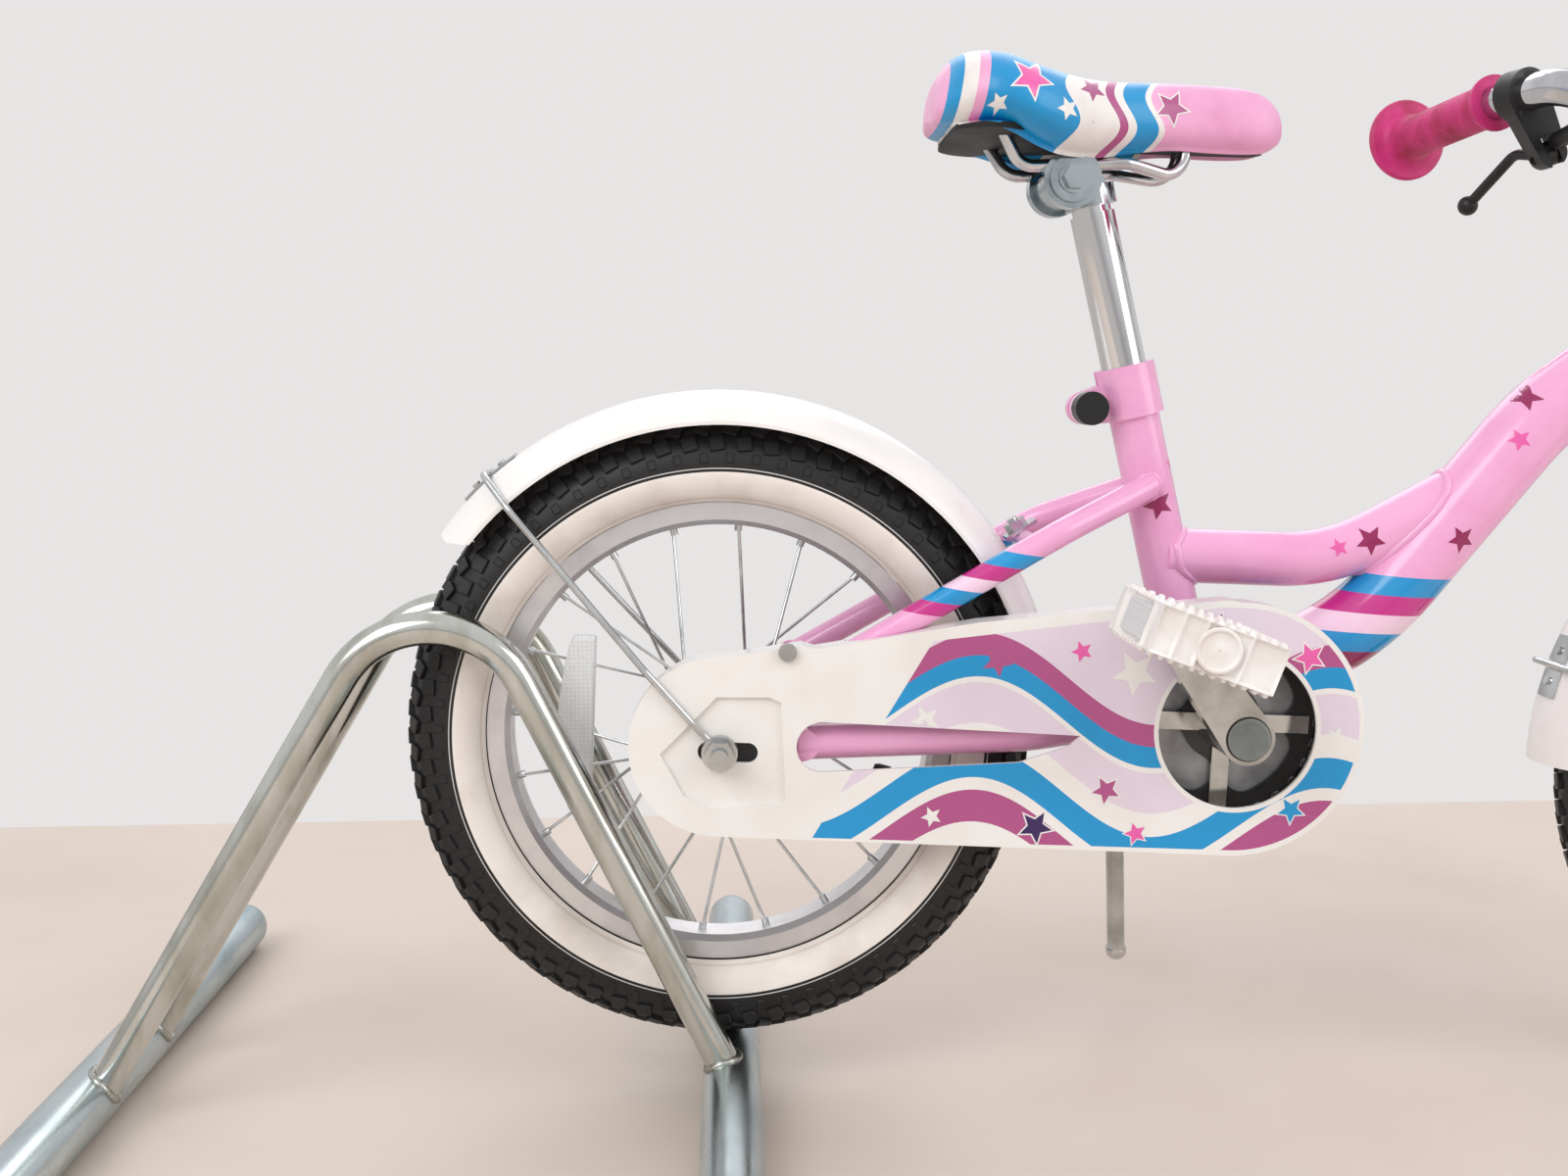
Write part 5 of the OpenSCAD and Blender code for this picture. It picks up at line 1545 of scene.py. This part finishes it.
@dataclass
class Drive(SubAssembly):
    """Chain, sprockets, cranks, pedals and the reflector between the rear wheel's spokes.

    The reflector's lens is given as it looks from the bicycle's right: a straight side towards
    the axle, a bowed one towards the tyre, and a front face from which it goes inwards.
    """

    cap_y: float = 88.02
    cap_r: float = 11.5
    disc_y: tuple[float, float] = (-36.62, -35.8)
    lens_right: float = -73.0
    lens_left: float = -93.7
    lens_bow: float = 7.5
    lens_rise: float = 51.0
    lens_z: float = 3.0
    lens_front: float = 14.9
    lens_depth: float = 10.8
    lens_steps: int = 24

    def centred(self, obj: bpy.types.Object) -> bpy.types.Object:
        """Moves a turned piece to the bottom bracket's axis."""
        x, z = self.stance.bracket
        return place(obj, self.stance.matrix @ Matrix.Translation(Vector((x, 0, z)) * MM))

    def fit_caps(self) -> None:
        """Presses a dust cap over each crank bolt, with a thin dark ring round it that paints the
        shade in the groove.
        """
        y, r = self.cap_y, self.cap_r
        for side, word in SIDES:
            profile = [(0.2, y), (r, y), (r, y + 1.6), (r - 0.7, y + 2.4), (r - 2.2, y + 2.5),
                       (r - 2.5, y + 2.2), (0.2, y + 2.25)]
            cap = turned(f"{word}_dust_cap", [(a, side * b) for a, b in profile], 48)
            # Polyethylene is matt and a little chalky.
            paint(smooth(self.centred(cap)), self.book.get(Finish(
                "grey polyethylene dust cap", "#7F8583", "#8C918F", 0.42, 0.06, grain=1.0,
                depth=0.01)))
            self.keep(cap, "crank")
            groove = turned(f"{word}_cap_groove", [
                (r + 0.05, side * (y - 0.01)), (r + 0.85, side * (y - 0.01)),
                (r + 0.85, side * (y + 0.12)), (r + 0.05, side * (y + 0.12))], 48)
            # A thin, nearly black ring paints the shade in the groove round the cap; it is matt,
            # with no clear highlight.
            paint(self.centred(groove), self.book.get(Finish(
                "painted shade in the cap groove", "#1C1B19", "#3A3835", 0.5, 0.1, grain=0.8)))
            self.keep(groove, "crank")

    def fit_reflector(self) -> None:
        """Moulds the D-shaped lens that is clipped to the rear wheel's spokes."""
        right, left, rise, middle = self.lens_right, self.lens_left, self.lens_rise, self.lens_z
        outline = [(right, middle - rise), (right, middle + rise)]
        for k in range(self.lens_steps + 1):
            t = 1 - 2 * k / self.lens_steps
            outline.append((left + self.lens_bow * t * t, middle + rise * t))
        bpy.ops.mesh.primitive_circle_add(vertices=len(outline), radius=0.01, fill_type="NGON")
        lens = new_piece("wheel_reflector_lens")
        for vertex, (x, z) in zip(lens.data.vertices, outline):
            vertex.co = Vector((x, -self.lens_front, z)) * MM
        bpy.ops.object.mode_set(mode="EDIT")
        bpy.ops.mesh.select_all(action="SELECT")
        bpy.ops.mesh.extrude_region_move(
            TRANSFORM_OT_translate={"value": (0, self.lens_depth * MM, 0)})
        bpy.ops.mesh.select_all(action="SELECT")
        bpy.ops.mesh.normals_make_consistent(inside=False)
        bpy.ops.object.mode_set(mode="OBJECT")
        bevelled(lens, 1.4, 3)
        paint(smooth(place(lens, self.stance.matrix)), self.book.get(ClearLens()))
        self.keep(lens, "rear_wheel")
        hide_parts("wheel_reflector")

    def fit_disc(self) -> None:
        """Fits a grey disc behind the chainring, whose colour paints the shaded inside of the
        white guard seen through the windows.
        """
        low, high = self.disc_y
        profile = [(8.4, high), (8.4, low), (44.0, low), (46.5, low + 0.2), (46.5, high)]
        disc = turned("chainring_inner_disc", profile, 96)
        # The disc's grey paints the shaded inside of the white guard; it is a little metallic,
        # with a wide highlight and small marks.
        paint(smooth(self.centred(disc), 30), self.book.get(Finish(
            "grey disc with painted guard shade", "#A7A9AB", "#B4B5B6", 0.36, 0.07, 0.35, 0.3, grain=1.4,
            depth=0.015, mottle=24, specks=0.3, speck_size=2.4)))
        self.keep(disc, "crank")

    def build(self) -> None:
        """Gives the drive its metals and plastics."""
        self.fit_caps()
        self.fit_disc()
        Pedal(*self.kit).build()
        Pedal(*self.kit, name="left", side=LEFT, crank_angle=307.5, tilt=-6.0).build()
        # Oil darkens the steel and holds brown dust.
        self.dress(Finish("oiled chain steel", "#8E8F8E", "#8A8378", 0.34, 0.1, 1.0, grain=0.9,
                          depth=0.015, mottle=9), "chain")
        # Bare steel is polished by the chain and dark between the teeth.
        self.dress(Finish("worn sprocket steel", "#8E9294", "#66696B", 0.34, 0.08, 1.0,
                          grain=0.9, depth=0.02, mottle=10), "rear_sprocket")
        # Black enamel shows a soft highlight and grey scuffs.
        self.dress(Finish("black enamelled chainring", "#232324", "#4C4C4E", 0.34, 0.08, 0.0,
                          0.3, grain=1.2, depth=0.015), "chainring")
        # Forged steel under bright plating mirrors the room, with small dull spots.
        self.dress(Finish("plated crank steel", "#C9C9C6", "#C4C3BF", 0.15, 0.04, 1.0,
                          grain=2.6, depth=0.004, mottle=30, specks=0.2, speck_size=2.6,
                          speck_colour="#8A8883"),
                   "right_crank", "left_crank", "crank_spindle")
        # The same polypropylene as the cage, without its dirt.
        self.dress(Finish("white polypropylene pedal core", "#F0EDEB", "#EDE6E0", 0.36, 0.07,
                          grain=1.2, depth=0.02, mottle=22), "right_pedal", "left_pedal")
        self.fit_reflector()


@dataclass
class Saddle(SubAssembly):
    """The padded saddle cover and what carries it.

    Each table gives a measure at stations along the saddle: half its width, the height of its
    top, the height of its skirt's edge, and half the width of the base plate below.
    """

    shift: tuple[float, float, float] = (-0.09, 0.0, 0.17)
    tail: float = 103.0
    nose: float = 304.6
    base_high: float = 344.2
    rows: int = 96
    columns: int = 72
    crowding: float = 0.82
    shoulder: float = 0.36
    flank: float = 0.74
    crown: float = 0.9
    tuck: float = 0.95
    lip: float = 0.6
    lip_end: float = 0.4
    wall_end: float = 0.55
    least_skirt: float = 3.0
    widths: tuple = ((103, 0), (105, 30), (109, 44), (116, 55), (128, 64), (142, 67.6),
                     (160, 64), (180, 53), (200, 40), (220, 29.5), (240, 24), (262, 21.5),
                     (280, 20.3), (292, 18.2), (300, 13), (303.5, 7), (304.6, 0))
    tops: tuple = ((103, 354), (105, 368), (109, 377), (116, 384), (128, 386.6), (142, 385.6),
                   (160, 380.8), (180, 377), (200, 375.6), (220, 376.4), (240, 377),
                   (262, 377), (280, 376.2), (292, 373), (300, 366.5), (303.5, 360),
                   (304.6, 353))
    skirts: tuple = ((103, 350), (105, 346), (109, 344), (116, 343), (128, 342.4),
                     (142, 339.6), (160, 333), (172, 330.4), (190, 330.4), (205, 332.6),
                     (220, 336), (240, 338.6), (262, 338.4), (280, 338.6), (292, 340),
                     (300, 343.5), (303.5, 348), (304.6, 353))
    base: tuple = ((115, 33), (117, 44), (121, 50), (130, 54.6), (137, 56), (146, 51.5),
                   (218, 17), (284, 11), (291, 8.4), (295, 0.2))

    @staticmethod
    def at(table: Sequence[tuple[float, float]], x: float) -> float:
        """Reads a smooth line through a table of stations.

        Args:
            table: Stations with their values.
            x: Where to read.

        Returns:
            The value there.
        """
        if x <= table[0][0]:
            return table[0][1]
        for k in range(len(table) - 1):
            (x0, v0), (x1, v1) = table[k], table[k + 1]
            if x <= x1:
                before = table[k - 1] if k else table[k]
                after = table[k + 2] if k + 2 < len(table) else table[k + 1]
                s0 = (v1 - before[1]) / max(x1 - before[0], 1e-6) if k else (v1 - v0) / (x1 - x0)
                s1 = ((after[1] - v0) / max(after[0] - x0, 1e-6)
                      if k + 2 < len(table) else (v1 - v0) / (x1 - x0))
                t, h = (x - x0) / (x1 - x0), x1 - x0
                return ((2 * t**3 - 3 * t**2 + 1) * v0 + (t**3 - 2 * t**2 + t) * h * s0
                        + (3 * t**2 - 2 * t**3) * v1 + (t**3 - t**2) * h * s1)
        return table[-1][1]

    def section(self, x: float) -> list[Vector]:
        """Gives the right half of one cross section, from the top to the hollow below.

        Args:
            x: Station along the saddle.

        Returns:
            Points from the middle of the top round the skirt to the middle below.
        """
        wide, top, low = (max(self.at(t, x), 0.0) for t in (self.widths, self.tops, self.skirts))
        half = self.columns // 2
        outer = half * 2 // 3
        middle = low + self.shoulder * (top - low)
        points = []
        for k in range(outer + 1):
            turn = math.pi / 2 - (math.pi / 2 + self.tuck) * k / outer
            c, s = math.cos(turn), math.sin(turn)
            y = wide * abs(c) ** self.flank
            z = (middle + (top - middle) * s ** self.crown if s > 0
                 else middle + (middle - low) * s)
            points.append(Vector((x, y, z)))
        over_base = self.base[0][0] <= x <= self.base[-1][0]
        inner = min(self.at(self.base, x), wide - self.least_skirt) if over_base else 0.0
        edge = points[-1]
        rest = half - outer
        for k in range(1, rest + 1):
            t = k / rest
            if inner > 1:
                if t < self.lip_end:
                    u = t / self.lip_end
                    points.append(Vector((x, edge.y + (inner + self.lip - edge.y) * u,
                                          low + 0.4 + (edge.z - low) * (1 - u) ** 2)))
                elif t < self.wall_end:
                    points.append(Vector((x, inner + 0.3, self.base_high)))
                else:
                    points.append(Vector((x, inner * (1 - t) / (1 - self.wall_end),
                                          self.base_high)))
            else:
                points.append(Vector((x, edge.y * (1 - t),
                                      edge.z + (low - edge.z) * t * self.lip)))
        return points

    def cover(self) -> bpy.types.Object:
        """Lofts the padded cover over its base plate.

        Returns:
            The cover in place.
        """
        stations = []
        for k in range(self.rows + 1):
            u = k / self.rows
            crowd = math.sin(math.tau * u) / math.tau * self.crowding
            stations.append(self.tail + (self.nose - self.tail) * (u - crowd))
        bpy.ops.mesh.primitive_grid_add(x_subdivisions=self.columns, y_subdivisions=self.rows,
                                        size=1)
        obj = new_piece("padded_saddle_cover")
        loops = []
        for x in stations:
            right = self.section(x)
            left = [Vector((p.x, -p.y, p.z)) for p in right]
            loops.append(left[::-1] + right[1:])
        wide = self.columns + 1
        for index, vertex in enumerate(obj.data.vertices):
            vertex.co = loops[index // wide][index % wide] * MM
        bpy.ops.object.mode_set(mode="EDIT")
        close_shell(2e-5)
        place(obj, self.stance.matrix @ Matrix.Translation(Vector(self.shift) * MM))
        return smooth(obj, 60)

    def build(self) -> None:
        """Builds the cover, its stars and the finishes below it."""
        # Calendered PVC is soft in its highlights, and its print is scuffed grey at the edges.
        vinyl = SaddleVinyl("printed vinyl saddle cover", Hue.PINK.value, "#EFE3E8", 0.4, 0.07,
                            0.0, 0.15, grain=1.1, depth=0.05, mottle=32, specks=0.5,
                            speck_size=5.5, speck_colour="#7A6A70", stance=self.stance)
        cover = self.cover()
        paint(cover, self.book.get(vinyl))
        self.keep(cover, "saddle")
        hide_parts("saddle_cover")
        films = Films(*self.kit)
        stars = [StarFilm(151, 366, 11.0, -8, Hue.STAR_PINK, Hue.WHITE),
                 StarFilm(134, 352, 5.4, 10, Hue.WHITE),
                 StarFilm(172, 352, 6.6, 12, Hue.WHITE),
                 StarFilm(188, 366, 8.0, 5, Hue.MAUVE),
                 StarFilm(236, 361, 9.5, -10, Hue.MAUVE, Hue.WHITE)]
        for side, word in SIDES:
            films.wrap(f"saddle_stars_{word}", stars, cover, side, "saddle", 0.12, 5)
        # The base's grained polypropylene is matt, and its colour is painted near black to stand
        # for the shade in the hollow below the cover.
        self.dress(Finish("black polypropylene saddle base", "#0C0C0D", "#1B1B1C", 0.62, 0.1,
                          grain=1.2, depth=0.05), "saddle_base")
        # Chrome on drawn tube mirrors the room, a little blurred along the tube.
        chrome = Finish("chromed steel", "#D9DADC", "#BFC1C6", 0.09, 0.04, 1.0, grain=2.5,
                        depth=0.004, mottle=40, stretch=(1.0, 1.0, 0.2))
        self.dress(chrome, "seatpost", "saddle_rails")
        # Passivated zinc is bright with a cold tint.
        self.dress(Finish("zinc plated saddle clamp", "#B9C3C7", "#A9B4B9", 0.13, 0.04, 1.0,
                          grain=2.4, depth=0.004, mottle=30), "saddle_clamp", "clamp_cheeks")


@dataclass
class Cockpit(SubAssembly):
    """Handlebar, stem, grips, brake lever, cable and brake arms.

    The bar's middle is given up and ahead of the steering axis, and its inner and outer points
    from that middle.
    """

    grip_r: float = 14.2
    end_r: float = 28.0
    length: float = 108.0
    rib_pitch: float = 3.4
    rib_depth: float = 0.5
    bar_middle: tuple[float, float] = (409, 24)
    bar_inner: tuple[float, float, float] = (-0.7 * 53, 112, 0.95 * 13.5)
    bar_end: tuple[float, float, float] = (-53, 228, 3)

    def grip(self, name: str) -> bpy.types.Object:
        """Turns one moulded grip whose open end lies at the origin, along +Y.

        Args:
            name: Name of the grip.

        Returns:
            The grip.
        """
        r, big, long = self.grip_r, self.end_r, self.length
        profile = [(11.2, 0), (16.6, 0), (18.0, 1.0), (18.0, 3.2), (16.6, 4.4), (r, 5.2)]
        y = 7.0
        while y < long - 22:
            low = r - self.rib_depth
            profile += [(r, y), (low, y + 0.6), (low, y + 1.6), (r, y + 2.2)]
            y += self.rib_pitch
        profile += [(r + 0.3, long - 19), (r + 1.4, long - 12), (r + 3.6, long - 7),
                    (big - 7, long - 5.2), (big - 1.6, long - 5.0), (big, long - 3.4),
                    (big, long - 1.0), (big - 1.5, long + 0.6), (big - 6, long + 0.8),
                    (big - 7.5, long + 1.6), (8, long + 2.4), (0.3, long + 2.5),
                    (0.3, long - 0.2), (11.2, long - 0.2)]
        return smooth(turned(name, profile, 64))

    def build(self) -> None:
        """Builds both grips and gives the steering its finishes."""
        centre = self.stance.steer(*self.bar_middle)
        end, inner = centre + Vector(self.bar_end), centre + Vector(self.bar_inner)
        # Thermoplastic rubber is matt, and its fine bloom lightens the edges.
        rubber = Finish("magenta thermoplastic rubber", "#CF2A7B", "#B81F68", 0.5, 0.07,
                        grain=0.9, depth=0.05, mottle=25, sheen=0.15)
        for side, word in SIDES:
            along = (end - inner).normalized()
            start = end - along * self.length
            start.y, along.y = start.y * side, along.y * side
            turn = Vector((0, 1, 0)).rotation_difference(along).to_matrix().to_4x4()
            made = self.grip(f"{word}_grip")
            place(made, self.stance.matrix @ Matrix.Translation(start * MM) @ turn)
            paint(made, self.book.get(rubber))
            self.keep(made, "steering")
            if side == RIGHT:
                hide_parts("grips")
        # Chrome on a bent tube mirrors the room almost sharply.
        self.dress(Finish("chromed steel bar", "#D6D7DA", "#BCBEC3", 0.11, 0.04, 1.0, grain=2.5,
                          depth=0.004, mottle=40), "handlebar", "stem")
        # Glass fibre at the surface makes the nylon matt and a little grey.
        self.dress(Finish("black glass filled nylon", "#171718", "#3C3C3E", 0.42, 0.08,
                          grain=1.0, depth=0.04, mottle=18), "brake_lever_mount", "brake_lever")
        # Extruded PVC is smooth and shows one soft line of light.
        self.dress(Finish("black PVC cable housing", "#1B1B1C", "#3A3A3C", 0.38, 0.06,
                          grain=0.8, depth=0.01), "brake_cable")
        # Thin black enamel on pressed steel has soft highlights and grey edges.
        self.dress(Finish("black enamelled brake arm", "#2B2B2D", "#4E4E50", 0.36, 0.08, 0.0,
                          0.2, grain=1.1, depth=0.02), "right_brake_arm", "left_brake_arm")


@dataclass
class Studio:
    """Pale floor, soft lamps, world and camera.

    Each lamp has its place and side in metres and its power in watts.
    """

    eye: tuple[float, float, float] = (0.0090, -0.9358, 0.4105)
    yaw: float = 1.782
    down: float = 6.874
    roll: float = -0.55
    lens: float = 37.3
    wall: str = "#E7E4E4"
    floor: str = "#D6C8BD"
    floor_size: tuple[float, float, float] = (5.2, 2.9, 0.62)
    floor_middle: float = 0.25
    floor_gap: float = 0.0004
    aim: tuple[float, float, float] = (0.2, 0, 0.3)
    lamps: tuple = (("window", (-1.7, -2.0, 2.1), 1.8, 38), ("fill", (2.4, -1.4, 1.5), 1.8, 20),
                    ("back", (0.4, 2.2, 2.2), 2.0, 16))
    sky: tuple[tuple[float, str], ...] = (
        (0.0, "#B9AFA6"), (0.47, "#CFC8C2"), (0.5, "#8A8788"), (0.56, "#EDEBEC"),
        (0.8, "#F6F6F7"), (1.0, "#FFFFFF"))
    sky_strength: float = 0.9
    wall_in_gloss: float = 0.35

    def build(self) -> None:
        """Sets up everything round the object."""
        self.lay_floor()
        self.light()
        self.stand_camera()
        bpy.context.scene.view_settings.view_transform = "Standard"

    def lay_floor(self) -> None:
        """Lays a wide pale floor whose far edge lies a little behind the bicycle."""
        bpy.ops.mesh.primitive_plane_add(size=1)
        floor = new_piece("studio_floor")
        wide, deep, far = self.floor_size
        place(floor, Matrix.Translation((self.floor_middle, far - deep / 2, -self.floor_gap))
              @ Matrix.Diagonal((wide, deep, 1, 1)))
        # Studio paint on a floor is matt and nearly even, with faint wide clouds.
        finish = Finish("pale studio floor", self.floor, "#F8F5F2", 0.5, 0.05, grain=6.0,
                        depth=0.02, mottle=260)
        paint(floor, finish.make())

    def lamp(self, name: str, at: Sequence[float], size: float, power: float) -> None:
        """Hangs one square lamp that faces the bicycle.

        Args:
            name: Name of the lamp.
            at: Place in metres.
            size: Side in metres.
            power: Power in watts.
        """
        data = bpy.data.lights.new(name, "AREA")
        data.shape, data.size, data.energy = "SQUARE", size, power
        obj = bpy.data.objects.new(name, data)
        bpy.context.scene.collection.objects.link(obj)
        obj.location = at
        aim = Vector(self.aim) - Vector(at)
        obj.rotation_euler = aim.to_track_quat("-Z", "Y").to_euler()

    def light(self) -> None:
        """Hangs the lamps and colours the world."""
        for name, at, size, power in self.lamps:
            self.lamp(name, at, size, power)
        world = bpy.data.worlds.new("studio")
        bpy.context.scene.world = world
        world.use_nodes = True
        tree = world.node_tree
        sky = tree.nodes["Background"]
        where = add_node(tree, "ShaderNodeTexCoord")
        parts = add_node(tree, "ShaderNodeSeparateXYZ", None, {0: where.outputs["Generated"]})
        share = add_node(tree, "ShaderNodeMapRange", None,
                         {"Value": parts.outputs["Z"], "From Min": -1.0})
        ramp = add_node(tree, "ShaderNodeValToRGB", None, {0: share.outputs[0]})
        set_stops(ramp, self.sky, False)
        tree.links.new(ramp.outputs[0], sky.inputs["Color"])
        sky.inputs["Strength"].default_value = self.sky_strength
        plain = add_node(tree, "ShaderNodeBackground", None,
                         {"Color": linear(self.wall), "Strength": 1.0})
        ray = add_node(tree, "ShaderNodeLightPath")
        gloss = add_node(tree, "ShaderNodeMath", {"operation": "MULTIPLY_ADD"},
                         {0: ray.outputs["Is Glossy Ray"], 1: self.wall_in_gloss,
                          2: ray.outputs["Is Transmission Ray"]})
        seen = add_node(tree, "ShaderNodeMath", {"operation": "ADD", "use_clamp": True},
                        {0: gloss.outputs[0], 1: ray.outputs["Is Camera Ray"]})
        mixed = add_node(tree, "ShaderNodeMixShader", None,
                         {0: seen.outputs[0], 1: sky.outputs[0], 2: plain.outputs[0]})
        tree.links.new(mixed.outputs[0], tree.nodes["World Output"].inputs["Surface"])

    def stand_camera(self) -> None:
        """Stands the camera behind and to the right of the rear wheel."""
        data = bpy.data.cameras.new("camera")
        data.lens, data.sensor_width = self.lens, 36
        data.clip_start = 0.02
        camera = bpy.data.objects.new("camera", data)
        bpy.context.scene.collection.objects.link(camera)
        turn = (Matrix.Rotation(-math.radians(self.yaw), 4, "Z")
                @ Matrix.Rotation(math.radians(90 - self.down), 4, "X")
                @ Matrix.Rotation(math.radians(self.roll), 4, "Z"))
        camera.matrix_world = Matrix.Translation(self.eye) @ turn
        bpy.context.scene.camera = camera


def main() -> None:
    """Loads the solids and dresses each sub-assembly."""
    logging.basicConfig(level=logging.INFO, format="%(name)s: %(message)s")
    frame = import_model()
    stance = Stance.from_wheels()
    book = FinishBook()
    parts = (frame["nodes"], book, stance)
    Studio().build()
    Stand(*parts).build()
    Frame(*parts).build()
    Guards(*parts).build()
    Wheel(*parts, name="rear").build()
    Wheel(*parts, name="front", axle=(stance.wheelbase, 0.0, 0.0)).build()
    Drive(*parts).build()
    Saddle(*parts).build()
    Cockpit(*parts).build()


if __name__ == "__main__":
    main()
